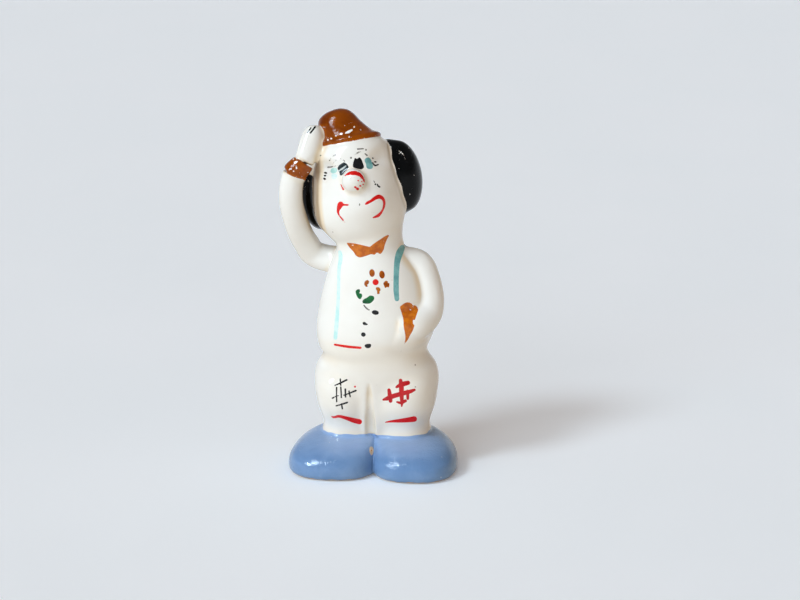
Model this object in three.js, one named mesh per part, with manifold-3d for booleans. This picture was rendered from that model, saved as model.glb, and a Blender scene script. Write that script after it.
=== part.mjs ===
// Porcelain clown figurine: hollow slip-cast pieces that are luted together with slip, then glazed.
// Millimetres, +Z up. The clown faces -Y, raises its right hand to its hat on the -X side,
// and keeps its left hand in its pocket on the +X side.
import * as THREE from "three";
import { mergeVertices } from "three/addons/utils/BufferGeometryUtils.js";
import Module from "manifold-3d";

const wasm = await Module();
wasm.setup();

// Driving dimensions: the casting
const SLIP_GAP = 0.3; // slip line between two luted pieces
const WALL = 3; // wall of the hollow castings
const VENT_RADIUS = 2.5; // firing vent in each sole

// Driving dimensions: shoes
const SHOE_LENGTH = 36;
const SHOE_WIDTH = 28.8;
const SHOE_HEIGHT = 10.3; // floor to trouser hem
const SHOE_SPLAY = 13.2; // middle of a sole from the mid-plane
const SHOE_FORWARD = 7.6; // middle of a sole in front of the leg's middle
const TOE_SWELL = 0.1; // share by which the toe is broader than the middle, and the heel narrower
const SHOE_SEAM = 1; // where the shoes meet, off the mid-plane

// Driving dimensions: trousers
const TROUSER_HEIGHT = 26.3; // hem to waist
const LEG_WIDTH = 18.8; // at the hem
const LEG_DEPTH = 20.6; // at the hem
const LEG_OVERLAP = 0.6; // how far each leg runs past the seam between them, so that the legs join
const LEG_SEAM = -1; // where the legs meet, off the mid-plane
const HIP_WIDTH = 41.2;
const HIP_DEPTH = 29;
const GROOVE_WIDTH = 3.2; // of the groove that parts the legs, at the hem
const GROOVE_DEPTH = 2.2;
const GROOVE_RISE = 0.74; // share of the trousers' height at which it runs out

// Driving dimensions: torso
const TORSO_HEIGHT = 38.2; // waist to the middle of the neck seam
const BELLY_WIDTH = 39.6;
const BELLY_DEPTH = 32;
const NECK_WIDTH = 20.6;
const NECK_DEPTH = 19.6;
const NECK_LEAN = 2.2; // neck off the mid-plane, towards the raised hand

// Driving dimensions: head
const HEAD_HEIGHT = 39; // neck seam to the top of the skull
const HEAD_WIDTH = 29.4; // over the cheeks
const HEAD_DEPTH = 27.6;
const HEAD_TILT = 12; // degrees towards the raised hand
const HEAD_PITCH = 9; // degrees back, so that the face looks up
const CHEEK_LEAN = 1; // how much fuller the cheeks are towards the raised hand
const NOSE_RADIUS = 3.7;

// Driving dimensions: hat and hair
const HAT_HEIGHT = 11.2; // brim to crown
const BRIM_WIDTH = 19.4;
const CROWN_WIDTH = 13.4;
const CROWN_LEAN = 3; // how far the crown is pushed over towards the raised hand
const HAIR_WIDTH = 11.6;
const HAIR_DEPTH = 16;
const HAIR_HEIGHT = 25;

// Driving dimensions: arms
const ARM_RADIUS = 4.15;
const ARM_REACH = 7.4; // how far the raised arm bows out beyond the belly
const SHOULDER_BACK = 6.5; // how far back the raised arm leaves the shoulder
const SHOULDER_DROP = 1; // how far below the shoulder line it starts
const WRIST_FORWARD = 4.5; // how far forward it has come below the cuff
const CUFF_LENGTH = 4.8;
const CUFF_STEP = 0.25; // how far the cuff stands proud of the sleeve
const HAND_LENGTH = 12.4;
const HAND_WIDTH = 6.8;
const HAND_THICKNESS = 6;
const ELBOW_REACH = 2; // how far the pocket elbow stands out beyond the belly
const ELBOW_FORWARD = 2.6; // how far it stands in front of the shoulder

// Facets
const AROUND = 26; // corners of a casting's cross-section
const AROUND_CAVITY = 14;
const AROUND_ARM = 14;

const HEM_Z = SHOE_HEIGHT;
const WAIST_Z = HEM_Z + TROUSER_HEIGHT;
const NECK_Z = WAIST_Z + TORSO_HEIGHT;
const OPEN_END = 2; // how far a cavity runs out of an open end

const porcelain = new THREE.MeshStandardMaterial({ color: 0xf1ece1, roughness: 0.18, metalness: 0 });
const brownGlaze = new THREE.MeshStandardMaterial({ color: 0x8a4408, roughness: 0.2, metalness: 0 });
const blackGlaze = new THREE.MeshStandardMaterial({ color: 0x0d0d10, roughness: 0.2, metalness: 0 });
const blueGlaze = new THREE.MeshStandardMaterial({ color: 0x5f7fb4, roughness: 0.18, metalness: 0 });

// A closed geometry as a solid that can be joined and cut.
function solid(geometry) {
  const bare = geometry.clone();
  bare.deleteAttribute("normal");
  bare.deleteAttribute("uv");
  const merged = mergeVertices(bare, 1e-4);
  return new wasm.Manifold(
    new wasm.Mesh({
      numProp: 3,
      vertProperties: new Float32Array(merged.attributes.position.array),
      triVerts: new Uint32Array(merged.index.array),
    }),
  );
}

// A solid's surface as a geometry.
function surface(made) {
  const { vertProperties, triVerts } = made.getMesh();
  const geometry = new THREE.BufferGeometry();
  geometry.setAttribute("position", new THREE.BufferAttribute(vertProperties, 3));
  return geometry.setIndex(new THREE.BufferAttribute(triVerts, 1));
}

// A solid seen from another frame.
const moved = (made, matrix) => solid(surface(made).applyMatrix4(matrix));

// A named mesh of a finished solid.
function piece(name, made, material) {
  const geometry = surface(made);
  geometry.computeVertexNormals();
  const mesh = new THREE.Mesh(geometry, material);
  mesh.name = name;
  return mesh;
}

// A closed skin over rings of points that all have the same number of corners.
function skin(rings) {
  const around = rings[0].length;
  const points = rings.flat();
  const bottom = points.push(centre(rings[0])) - 1;
  const top = points.push(centre(rings.at(-1))) - 1;
  const last = (rings.length - 1) * around;
  const index = [];
  for (let j = 0; j < around; j++) {
    const next = (j + 1) % around;
    index.push(bottom, next, j, top, last + j, last + next);
    for (let i = 0; i < last; i += around) {
      index.push(i + j, i + next, i + around + j, i + next, i + around + next, i + around + j);
    }
  }
  return new THREE.BufferGeometry().setFromPoints(points).setIndex(index);
}

function centre(ring) {
  const sum = ring.reduce((total, p) => total.add(p), new THREE.Vector3());
  return sum.divideScalar(ring.length);
}

// A curve through stations of a loft: [height, half width, half depth, x, y].
function stationCurves(stations) {
  const sizes = stations.map(([z, rx, ry]) => new THREE.Vector3(rx, ry, z));
  const middles = stations.map(([z, , , x = 0, y = 0]) => new THREE.Vector3(x, y, z));
  return {
    sizes: new THREE.CatmullRomCurve3(sizes, false, "catmullrom"),
    middles: new THREE.CatmullRomCurve3(middles, false, "catmullrom"),
  };
}

// A loft through stations. grow stands it off all round, ends says how far each end runs on,
// and swell broadens the front of every section and narrows its back.
function loft(stations, options = {}) {
  const { grow = 0, ends = [grow, grow], around = AROUND, steps = 2, power = 2, swell = 0 } = options;
  const { sizes, middles } = stationCurves(stations);
  const bend = (c) => Math.sign(c) * Math.abs(c) ** (2 / power);
  const count = (stations.length - 1) * steps;
  const rings = [];
  for (let i = 0; i <= count; i++) {
    const size = sizes.getPoint(i / count);
    const middle = middles.getPoint(i / count);
    const z = size.z - (i === 0 ? ends[0] : 0) + (i === count ? ends[1] : 0);
    const ring = [];
    for (let j = 0; j < around; j++) {
      const angle = (j / around) * 2 * Math.PI;
      const across = bend(Math.cos(angle)) * (1 - swell * Math.sin(angle));
      const x = middle.x + across * (size.x + grow);
      const y = middle.y + bend(Math.sin(angle)) * (size.y + grow);
      ring.push(new THREE.Vector3(x, y, z));
    }
    rings.push(ring);
  }
  return skin(rings);
}

// A limb along a curve, between two lengths on it. radiiAt takes the share of that stretch and
// gives the half width and the half thickness there.
function limb(curve, [from, to], radiiAt, { grow = 0, segments = 12 } = {}) {
  const length = curve.getLength();
  const wide = new THREE.Vector3(0, 1, 0).cross(curve.getTangentAt(from / length));
  const rings = [];
  for (let i = 0; i <= segments; i++) {
    const share = i / segments;
    const along = THREE.MathUtils.lerp(from - grow, to + grow, share) / length;
    const at = THREE.MathUtils.clamp(along, 0, 1);
    const point = curve.getPointAt(at);
    const tangent = curve.getTangentAt(at);
    wide.projectOnPlane(tangent).normalize();
    const thick = tangent.clone().cross(wide);
    const [rw, rt] = radiiAt(share);
    const ring = [];
    for (let j = 0; j < AROUND_ARM; j++) {
      const angle = (j / AROUND_ARM) * 2 * Math.PI;
      const corner = point.clone().addScaledVector(wide, (rw + grow) * Math.cos(angle));
      ring.push(corner.addScaledVector(thick, (rt + grow) * Math.sin(angle)));
    }
    rings.push(ring);
  }
  return skin(rings);
}

// An ellipsoid standing at a point.
function ellipsoid([rx, ry, rz], [x, y, z], { around = 18, rows = 12 } = {}) {
  const ball = new THREE.SphereGeometry(1, around, rows);
  ball.scale(rx, ry, rz);
  return ball.translate(x, y, z);
}

// Shoes: a broad egg-shaped sole that domes up and back to the trouser hem.
const LEG_SPACING = LEG_WIDTH / 2 - LEG_OVERLAP;

function shoeStations(side) {
  const shift = SHOE_SEAM / 2;
  const sole = [SHOE_WIDTH / 2 - side * shift, SHOE_LENGTH / 2, side * SHOE_SPLAY + shift, -SHOE_FORWARD];
  const top = [LEG_WIDTH / 2, LEG_DEPTH / 2, side * LEG_SPACING, 0];
  // Share of the height, share of the sole's size, and how far it has drawn back to the leg.
  const profile = [
    [0, 0.94, 0],
    [0.18, 1, 0],
    [0.52, 0.985, 0.03],
    [0.79, 0.935, 0.21],
    [0.94, 0.95, 0.58],
    [1, 1, 1],
  ];
  return profile.map(([height, size, back]) => {
    const [rx, ry, x, y] = sole.map((value, k) => THREE.MathUtils.lerp(value, top[k], back));
    return [height * (SHOE_HEIGHT - SLIP_GAP), rx * size, ry * size, x, y];
  });
}

function shoe(side) {
  const stations = shoeStations(side);
  const outer = solid(loft(stations, { power: 2.4, swell: TOE_SWELL, ends: [0, 0] }));
  const cavity = loft(stations, { grow: -WALL, ends: [-WALL, OPEN_END], around: AROUND_CAVITY });
  const vent = new THREE.CylinderGeometry(VENT_RADIUS, VENT_RADIUS, 4 * WALL, AROUND_CAVITY);
  vent.rotateX(Math.PI / 2).translate(side * SHOE_SPLAY + SHOE_SEAM / 2, -SHOE_FORWARD, 0);
  const half = new THREE.BoxGeometry(2 * SHOE_WIDTH, 3 * SHOE_LENGTH, 3 * SHOE_HEIGHT);
  half.translate(SHOE_SEAM + side * (SHOE_WIDTH + SLIP_GAP / 2), 0, 0);
  return outer.intersect(solid(half)).subtract(solid(cavity)).subtract(solid(vent));
}

// Trousers: two baggy legs that run together into the hips.
function legStations(side) {
  const rx = LEG_WIDTH / 2;
  const ry = LEG_DEPTH / 2;
  const thighX = 0.5 * (HIP_WIDTH / 2 + LEG_OVERLAP);
  const thighY = HIP_DEPTH / 2;
  const apart = HIP_WIDTH / 2 - thighX;
  const shift = LEG_SEAM / 2;
  // Share of the height, half width, half depth, and how far out the leg's middle is.
  const profile = [
    [0, rx, ry, LEG_SPACING],
    [0.14, 0.97 * rx, 0.98 * ry, 0.98 * LEG_SPACING],
    [0.4, THREE.MathUtils.lerp(rx, thighX, 0.6), 0.87 * thighY, 0.96 * apart],
    [0.68, 0.96 * thighX, 0.87 * thighY, apart],
    [0.88, 0.74 * thighX, 0.66 * thighY, 0.9 * apart],
  ];
  return profile.map(([up, x, y, out]) => {
    return [HEM_Z + up * TROUSER_HEIGHT, x - side * shift, y, side * out + shift, 0];
  });
}

function hipStations() {
  const rx = HIP_WIDTH / 2;
  const ry = HIP_DEPTH / 2;
  const up = (share) => HEM_Z + share * TROUSER_HEIGHT;
  return [
    [up(0.02), 0.42 * rx, 0.67 * ry],
    [up(0.3), 0.6 * rx, 0.77 * ry],
    [up(0.5), 0.86 * rx, 0.83 * ry],
    [up(0.68), 0.99 * rx, 0.9 * ry],
    [up(0.86), 0.965 * rx, 0.96 * ry],
    [WAIST_Z - SLIP_GAP, 0.84 * rx, 0.92 * ry],
  ];
}

// What is carved away between the legs, at the front (face -1) and at the back (face 1).
function grooveStations(face) {
  // Share of the height, share of the groove's size, and the depth of the trousers there.
  const profile = [
    [-0.08, 1, LEG_DEPTH],
    [0.14, 1, 0.98 * LEG_DEPTH],
    [0.4, 0.85, 0.86 * HIP_DEPTH],
    [0.6, 0.5, 0.88 * HIP_DEPTH],
    [GROOVE_RISE, 0.1, 0.925 * HIP_DEPTH],
  ];
  return profile.map(([up, size, out]) => {
    const width = (size * GROOVE_WIDTH) / 2;
    return [HEM_Z + up * TROUSER_HEIGHT, width, size * GROOVE_DEPTH, LEG_SEAM, (face * out) / 2];
  });
}

function trousers() {
  const legs = [-1, 1].map(legStations);
  const hips = hipStations();
  const hollow = { grow: -WALL, around: AROUND_CAVITY };
  const outer = legs
    .map((stations) => solid(loft(stations, { power: 2.3, ends: [0, 0] })))
    .reduce((joined, leg) => joined.add(leg), solid(loft(hips, { ends: [0, 0] })));
  const hipCavity = solid(loft(hips.slice(2), { ...hollow, ends: [0, OPEN_END] }));
  const cavity = legs
    .map((stations) => solid(loft(stations, { ...hollow, ends: [OPEN_END, 0] })))
    .reduce((joined, leg) => joined.add(leg), hipCavity);
  return [-1, 1]
    .map((face) => solid(loft(grooveStations(face), { around: AROUND_CAVITY })))
    .reduce((left, groove) => left.subtract(groove), outer.subtract(cavity));
}

// Torso: a pear-shaped shirt that overhangs the waist and narrows to the neck.
function torsoStations() {
  const rx = BELLY_WIDTH / 2;
  const ry = BELLY_DEPTH / 2;
  const neckX = NECK_WIDTH / 2;
  const neckY = NECK_DEPTH / 2;
  const up = (share) => WAIST_Z + share * TORSO_HEIGHT;
  return [
    [WAIST_Z, 0.86 * rx, 0.86 * ry],
    [up(0.08), 0.965 * rx, 0.96 * ry],
    [up(0.24), rx, ry],
    [up(0.46), 0.94 * rx, 0.93 * ry],
    [up(0.68), 0.83 * rx, 0.8 * ry],
    [up(0.83), THREE.MathUtils.lerp(0.78 * rx, neckX, 0.35), 0.7 * ry, -0.3 * NECK_LEAN],
    [up(0.94), 1.08 * neckX, 1.02 * neckY, -0.8 * NECK_LEAN],
    [up(1.1), neckX, neckY, -NECK_LEAN],
  ];
}

const torsoSolid = (grow) => solid(loft(torsoStations(), { grow, ends: [grow, 0] }));

// The head's own frame: its origin is the middle of the neck seam.
const headGroup = new THREE.Group();
headGroup.position.set(-NECK_LEAN, 0, NECK_Z);
headGroup.rotation.set(
  THREE.MathUtils.degToRad(-HEAD_PITCH),
  THREE.MathUtils.degToRad(-HEAD_TILT),
  0,
);
headGroup.updateMatrix();
const toBody = headGroup.matrix;
const toHead = toBody.clone().invert();

// Head: full cheeks over a short neck, narrowing to the skull under the hat.
function headStations() {
  const rx = HEAD_WIDTH / 2;
  const ry = HEAD_DEPTH / 2;
  const up = (share) => share * HEAD_HEIGHT;
  return [
    [0, NECK_WIDTH / 2, NECK_DEPTH / 2],
    [up(0.1), 0.86 * rx, 0.88 * ry, -0.4 * CHEEK_LEAN, -0.03 * HEAD_DEPTH],
    [up(0.23), rx, 0.97 * ry, -CHEEK_LEAN, -0.03 * HEAD_DEPTH],
    [up(0.42), 0.99 * rx, ry, -0.9 * CHEEK_LEAN, -0.01 * HEAD_DEPTH],
    [up(0.6), 0.905 * rx, 0.965 * ry, -0.7 * CHEEK_LEAN],
    [up(0.77), 0.79 * rx, 0.83 * ry, -0.1 * CHEEK_LEAN],
    [up(0.85), 0.57 * rx, 0.61 * ry, -0.5 * CHEEK_LEAN],
    [up(0.93), 0.33 * rx, 0.36 * ry, -CHEEK_LEAN],
    [up(1), 0.09 * rx, 0.1 * ry, -1.5 * CHEEK_LEAN],
  ];
}

const headSolid = (grow = 0) => solid(loft(headStations(), { grow, ends: [0, grow] }));

function headCavity() {
  const ends = [OPEN_END, -WALL];
  return solid(loft(headStations().slice(0, -1), { grow: -WALL, ends, around: AROUND_CAVITY }));
}

const NOSE_PLACE = [0.5 * CHEEK_LEAN, -0.5 * HEAD_DEPTH - 0.25 * NOSE_RADIUS, 0.5 * HEAD_HEIGHT];
const noseSolid = () => solid(ellipsoid([NOSE_RADIUS, NOSE_RADIUS, NOSE_RADIUS], NOSE_PLACE));

// Hat: a soft bowler with a rolled brim, perched on the skull and pushed over by the hand.
const HAT_SEAT = 0.825 * HEAD_HEIGHT;

function hatSolid(grow = 0) {
  const brim = BRIM_WIDTH / 2;
  const crown = CROWN_WIDTH / 2;
  // Share of the height, half width, and share of the crown's lean.
  const profile = [
    [-0.12, 0.84 * brim, 0],
    [-0.04, 0.98 * brim, 0],
    [0.04, 1.05 * brim, 0],
    [0.12, 1.02 * brim, 0.08],
    [0.2, 0.89 * brim, 0.25],
    [0.34, THREE.MathUtils.lerp(brim, crown, 0.62), 0.5],
    [0.55, 1.04 * crown, 0.85],
    [0.78, 0.86 * crown, 1],
    [0.93, 0.55 * crown, 0.9],
    [1, 0.15 * crown, 0.75],
  ];
  const stations = profile.map(([height, half, lean]) => {
    return [HAT_SEAT + height * HAT_HEIGHT, half, half, -lean * CROWN_LEAN, 0];
  });
  return solid(loft(stations, { grow, steps: 2 }));
}

// Hair: a full tuft that stands out on each side of the head and turns in towards it at both ends.
// The tuft beside the raised arm sits further back.
function hairSolid(side) {
  const back = side > 0 ? 0.16 : 0.25;
  // Share of the half height, shares of the half width and half depth, and how far out it stands.
  const profile = [
    [-1, 0.1, 0.12, 0.39],
    [-0.84, 0.59, 0.56, 0.45],
    [-0.48, 0.91, 0.88, 0.48],
    [0, 1, 1, 0.497],
    [0.48, 0.93, 0.88, 0.48],
    [0.84, 0.6, 0.56, 0.45],
    [1, 0.1, 0.12, 0.39],
  ];
  const stations = profile.map(([up, x, y, out]) => [
    0.467 * HEAD_HEIGHT + (up * HAIR_HEIGHT) / 2,
    (x * HAIR_WIDTH) / 2,
    (y * HAIR_DEPTH) / 2,
    side * out * HEAD_WIDTH,
    back * HEAD_DEPTH,
  ]);
  return solid(loft(stations, { around: 20 }));
}

// Raised arm: one curve from inside the shoulder, out past the hair, and in again to the hat.
const inBody = (x, y, z) => new THREE.Vector3(x, y, z).applyMatrix4(toBody);
const shoulderZ = WAIST_Z + 0.79 * TORSO_HEIGHT;
const armOut = -BELLY_WIDTH / 2 - ARM_REACH; // middle of the arm where it bows out most
const fingertips = inBody(-0.48 * BRIM_WIDTH, -0.29 * BRIM_WIDTH, HAT_SEAT + 0.63 * HAT_HEIGHT);
const wrist = inBody(-0.77 * BRIM_WIDTH, -0.41 * BRIM_WIDTH, HAT_SEAT - 0.3 * HAT_HEIGHT);
const rise = wrist.z - shoulderZ;
const armPoint = (x, y, up, lower = 0) => new THREE.Vector3(x, y, shoulderZ + up * rise - lower);
const raisedCurve = new THREE.CatmullRomCurve3([
  armPoint(-0.12 * BELLY_WIDTH, 0.4 * SHOULDER_BACK, 0, SHOULDER_DROP),
  armPoint(armOut + ARM_REACH, 0.85 * SHOULDER_BACK, 0.05, 0.9 * SHOULDER_DROP),
  armPoint(armOut + 0.48 * ARM_REACH, 0.46 * SHOULDER_BACK, 0.19, 0.7 * SHOULDER_DROP),
  armPoint(armOut + 0.2 * ARM_REACH, -0.22 * WRIST_FORWARD, 0.37, 0.4 * SHOULDER_DROP),
  armPoint(armOut, -0.89 * WRIST_FORWARD, 0.62),
  armPoint(armOut + 0.14 * ARM_REACH, -WRIST_FORWARD, 0.86),
  wrist,
  fingertips,
]);
const raisedLength = raisedCurve.getLength();
const wristAt = raisedLength - HAND_LENGTH;
const cuffAt = wristAt - CUFF_LENGTH;

const round = (radius) => [radius, radius];
const sleeveRadii = (share) => round(ARM_RADIUS * (1 + 0.2 * (1 - share) ** 3 - 0.1 * share ** 2));
const cuffRadii = (share) => round(0.9 * ARM_RADIUS + CUFF_STEP - 0.4 * share);
const sleeveEnds = [0, cuffAt - SLIP_GAP / 2];
const cuffEnds = [cuffAt + SLIP_GAP / 2, wristAt - SLIP_GAP / 2];
const sleeveLimb = (grow = 0) => solid(limb(raisedCurve, sleeveEnds, sleeveRadii, { grow, segments: 18 }));
const cuffLimb = (grow = 0) => solid(limb(raisedCurve, cuffEnds, cuffRadii, { grow, segments: 4 }));

// Hand: a mitten that lies against the side of the hat.
const handRadii = (share) => {
  const palm = 0.9 + 0.12 * Math.sin(Math.PI * share);
  const tip = Math.sqrt(1 - 0.94 * (Math.max(0, share - 0.6) / 0.4) ** 3);
  return [(palm * tip * HAND_WIDTH) / 2, (palm * tip * HAND_THICKNESS) / 2];
};
const handEnds = [wristAt + SLIP_GAP / 2, raisedLength];
const handLimb = (grow = 0) => solid(limb(raisedCurve, handEnds, handRadii, { grow, segments: 10 }));

// Pocket arm: from the other shoulder, out round the elbow, and forward into the pocket.
const pocketZ = WAIST_Z + 0.32 * TORSO_HEIGHT;
const elbowX = BELLY_WIDTH / 2 - ARM_RADIUS + ELBOW_REACH; // middle of the arm at the elbow
const drop = shoulderZ - pocketZ;
const pocketCurve = new THREE.CatmullRomCurve3([
  new THREE.Vector3(0.2 * BELLY_WIDTH, 0, shoulderZ + 0.36 * ARM_RADIUS),
  new THREE.Vector3(0.35 * BELLY_WIDTH, 0, shoulderZ),
  new THREE.Vector3(0.93 * elbowX, -0.38 * ELBOW_FORWARD, shoulderZ - 0.28 * drop),
  new THREE.Vector3(elbowX, -ELBOW_FORWARD, shoulderZ - 0.6 * drop),
  new THREE.Vector3(0.97 * elbowX, -0.17 * BELLY_DEPTH, shoulderZ - 0.85 * drop),
  new THREE.Vector3(0.78 * elbowX, -0.3 * BELLY_DEPTH, pocketZ),
  new THREE.Vector3(0.5 * elbowX, -0.31 * BELLY_DEPTH, pocketZ),
]);
const pocketRadii = (share) => round(ARM_RADIUS * (1.1 + 0.1 * share));
const pocketEnds = [0, pocketCurve.getLength()];
const pocketLimb = () => solid(limb(pocketCurve, pocketEnds, pocketRadii, { segments: 18 }));

// Every other piece is cut back from its neighbour, and leaves the slip line between them.
const torsoClear = torsoSolid(SLIP_GAP);
const headClear = headSolid(SLIP_GAP);
const hatClear = hatSolid(SLIP_GAP);
const skullAndHat = headClear.add(hatClear);
const skullAndHatInBody = moved(skullAndHat, toBody);
const armClear = sleeveLimb(SLIP_GAP).add(cuffLimb(SLIP_GAP)).add(handLimb(SLIP_GAP));

// Everything above the neck seam, to trim the torso to the head's tilt.
const aboveNeck = new THREE.BoxGeometry(4 * HEAD_WIDTH, 4 * HEAD_WIDTH, HEAD_HEIGHT);
aboveNeck.translate(0, 0, HEAD_HEIGHT / 2 - SLIP_GAP).applyMatrix4(toBody);

function torso() {
  const hollow = { grow: -WALL, ends: [OPEN_END, 0], around: AROUND_CAVITY };
  return torsoSolid(0).subtract(solid(aboveNeck)).subtract(solid(loft(torsoStations(), hollow)));
}

const bodyGroup = new THREE.Group();
bodyGroup.add(
  piece("right_shoe", shoe(-1), blueGlaze),
  piece("left_shoe", shoe(1), blueGlaze),
  piece("trousers", trousers(), porcelain),
  piece("torso", torso(), porcelain),
  piece("raised_sleeve", sleeveLimb().subtract(torsoClear).subtract(skullAndHatInBody), porcelain),
  piece("raised_cuff", cuffLimb().subtract(skullAndHatInBody), brownGlaze),
  piece("raised_hand", handLimb().subtract(skullAndHatInBody), porcelain),
  piece("pocket_arm", pocketLimb().subtract(torsoClear), porcelain),
);
headGroup.add(
  piece("head", headSolid().subtract(headCavity()), porcelain),
  piece("nose", noseSolid().subtract(headClear), porcelain),
  piece("hat", hatSolid().subtract(headClear), brownGlaze),
  piece("right_hair", hairSolid(-1).subtract(skullAndHat).subtract(moved(armClear, toHead)), blackGlaze),
  piece("left_hair", hairSolid(1).subtract(skullAndHat), blackGlaze),
);

// The part's origin is the middle of its footprint box, on the surface that it stands on.
const clown = new THREE.Group();
clown.add(bodyGroup, headGroup);
const box = new THREE.Box3().setFromObject(clown, true);
const middle = box.getCenter(new THREE.Vector3());
clown.children.forEach((group) => group.position.sub(new THREE.Vector3(middle.x, middle.y, box.min.z)));

export default clown;
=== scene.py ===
"""Porcelain clown figurine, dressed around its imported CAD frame.

The castings are sculpted as level sets that run together the way luted and glazed pieces do. The fused
surface is then parted into the same pieces that the frame holds, and each one replaces its CAD node.
The painted details are thin enamel shapes that lie on that surface.
"""
import math

import bpy
import numpy as np
import openvdb
from mathutils import Matrix, Vector
from mathutils.bvhtree import BVHTree
from mathutils.geometry import delaunay_2d_cdt


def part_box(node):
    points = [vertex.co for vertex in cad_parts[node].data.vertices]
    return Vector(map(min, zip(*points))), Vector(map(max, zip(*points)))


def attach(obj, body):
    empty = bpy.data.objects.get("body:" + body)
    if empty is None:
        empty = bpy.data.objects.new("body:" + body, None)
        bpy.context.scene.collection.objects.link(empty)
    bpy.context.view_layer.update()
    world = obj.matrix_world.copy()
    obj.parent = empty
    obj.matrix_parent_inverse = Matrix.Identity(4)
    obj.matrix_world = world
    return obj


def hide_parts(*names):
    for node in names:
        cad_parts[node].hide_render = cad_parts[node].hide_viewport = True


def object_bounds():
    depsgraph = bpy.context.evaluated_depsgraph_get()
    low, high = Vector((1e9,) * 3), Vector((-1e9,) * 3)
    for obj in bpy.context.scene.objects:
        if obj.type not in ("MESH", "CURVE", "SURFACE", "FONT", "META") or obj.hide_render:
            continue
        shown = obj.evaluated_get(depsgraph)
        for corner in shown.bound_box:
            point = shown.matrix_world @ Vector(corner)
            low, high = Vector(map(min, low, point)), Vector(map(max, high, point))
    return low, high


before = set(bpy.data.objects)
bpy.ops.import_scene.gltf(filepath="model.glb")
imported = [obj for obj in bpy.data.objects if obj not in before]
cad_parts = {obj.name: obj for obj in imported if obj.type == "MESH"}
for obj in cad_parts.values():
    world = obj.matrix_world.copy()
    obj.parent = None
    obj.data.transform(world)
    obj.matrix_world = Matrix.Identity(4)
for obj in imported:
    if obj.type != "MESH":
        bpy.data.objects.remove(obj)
cad_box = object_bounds()

# Sizes of the castings in millimetres, as in the CAD source. The body's axis stands at x = y = 0.
SHOE_LENGTH, SHOE_WIDTH, SHOE_HEIGHT = 36, 28.8, 10.3
SHOE_SPLAY, SHOE_FORWARD, TOE_SWELL, SHOE_SEAM = 13.2, 7.6, 0.1, 1
VENT_RADIUS, VENT_DEPTH = 2.5, 5
TROUSER_HEIGHT, LEG_WIDTH, LEG_DEPTH, LEG_OVERLAP, LEG_SEAM = 26.3, 18.8, 20.6, 0.6, -1
HIP_WIDTH, HIP_DEPTH = 41.2, 29
GROOVE_WIDTH, GROOVE_DEPTH, GROOVE_RISE = 3.2, 2.2, 0.74
TORSO_HEIGHT, BELLY_WIDTH, BELLY_DEPTH = 38.2, 39.6, 32
NECK_WIDTH, NECK_DEPTH, NECK_LEAN = 20.6, 19.6, 2.2
HEAD_HEIGHT, HEAD_WIDTH, HEAD_DEPTH = 39, 29.4, 27.6
HEAD_TILT, HEAD_PITCH, CHEEK_LEAN, NOSE_RADIUS = 12, 9, 1, 3.7
HAT_HEIGHT, BRIM_WIDTH, CROWN_WIDTH, CROWN_LEAN = 11.2, 19.4, 13.4, 3
HAIR_WIDTH, HAIR_DEPTH, HAIR_HEIGHT = 11.6, 16, 25
RIGHT_HAIR_DROP, RIGHT_HAIR_REACH = 0.8, 1.2
MUZZLE_RADII, MUZZLE_PLACE = (8, 6, 6), (0.4, -9.4, 12)
EYE_HOLLOW_RADII, EYE_HOLLOW_PLACE, EYE_HOLLOW_SPACING = (6, 6, 3.2), (0.5, -12, 25.1), 12.75
ARM_RADIUS, ARM_REACH, SHOULDER_BACK, SHOULDER_DROP, WRIST_FORWARD = 4.15, 7.4, 6.5, 1, 4.5
ELBOW_REACH, ELBOW_FORWARD = 2, 2.6
CUFF_LENGTH, CUFF_STEP = 4.8, 0.25
HAND_LENGTH, HAND_WIDTH, HAND_THICKNESS = 12.4, 6.8, 6

HEM_Z = SHOE_HEIGHT
WAIST_Z = HEM_Z + TROUSER_HEIGHT
NECK_Z = WAIST_Z + TORSO_HEIGHT

# Resolution of the sculpt
VOXEL = 0.45
BAND = 9  # voxels on each side of a surface in which distances are kept
MARGIN = 5  # millimetres of the grid past the CAD box
AROUND, BALL_AROUND, BALL_RINGS = 112, 72, 48
STEPS = 10

# Fillets of slip where the castings run together
FILLET = {
    "shoes": 0.3, "legs": 1, "hips": 1.4, "groove": 0.5, "hem": 0.8, "waist": 1.8, "waist_front": 1.6,
    "arm": 0.7, "under_arm": 4, "sleeve": 0.7, "muzzle": 4, "eye_hollow": 2.5, "nose": 1.1,
    "right_hair": 2.6, "left_hair": 1.4, "hat": 0.6, "cuff": 0.5, "hand": 2.4, "neck": 1.2,
    "sole": 0.7, "vent": 0.5,
}
WAIST_FRONT_Y, WAIST_FRONT_SPAN, ELBOW_SPAN = -4, 8, 6

# Painted shade, and a warm tint above the shoes: how strongly, over how many millimetres, and where
SHADOW_BESIDE_FACE, SHADE_INSIDE_ARM, WARM_ABOVE_SHOES = 0.95, 0.85, 0.42
FACE_SPAN, ARM_SPAN, SHOE_SPAN = 2.6, 4, 7
FACE_EDGE_X, FACE_EDGE_Z, FACE_EDGE_SLOPE = -15.6, 88, 0.12
SHADE_BACK_Y, SHADE_BACK_SPAN, POCKET_TOP_SPAN = 5, 4, 5

# Where colours stop
BLUE_TOP = 11.1
TUFT_BLACK_X, TUFT_BLACK_Z, TUFT_BLACK_SLOPE, TUFT_BLACK_SPREAD = -22, 95.3, 0.7, 1.2
TUFT_BACK_Y, TUFT_BACK_SLOPE = 9, 2.5
RIM_DEPTH = 5  # millimetres inside a painted edge in which the depth is kept

# The photograph's frame and camera
IMAGE_WIDTH, IMAGE_HEIGHT = 800, 600
LENS, SENSOR = 80, 36
VIEW_AZIMUTH, VIEW_ELEVATION, VIEW_DISTANCE = 6, 14, 582
VIEW_TARGET = np.array([7.75, 0.03, 54.61])

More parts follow.
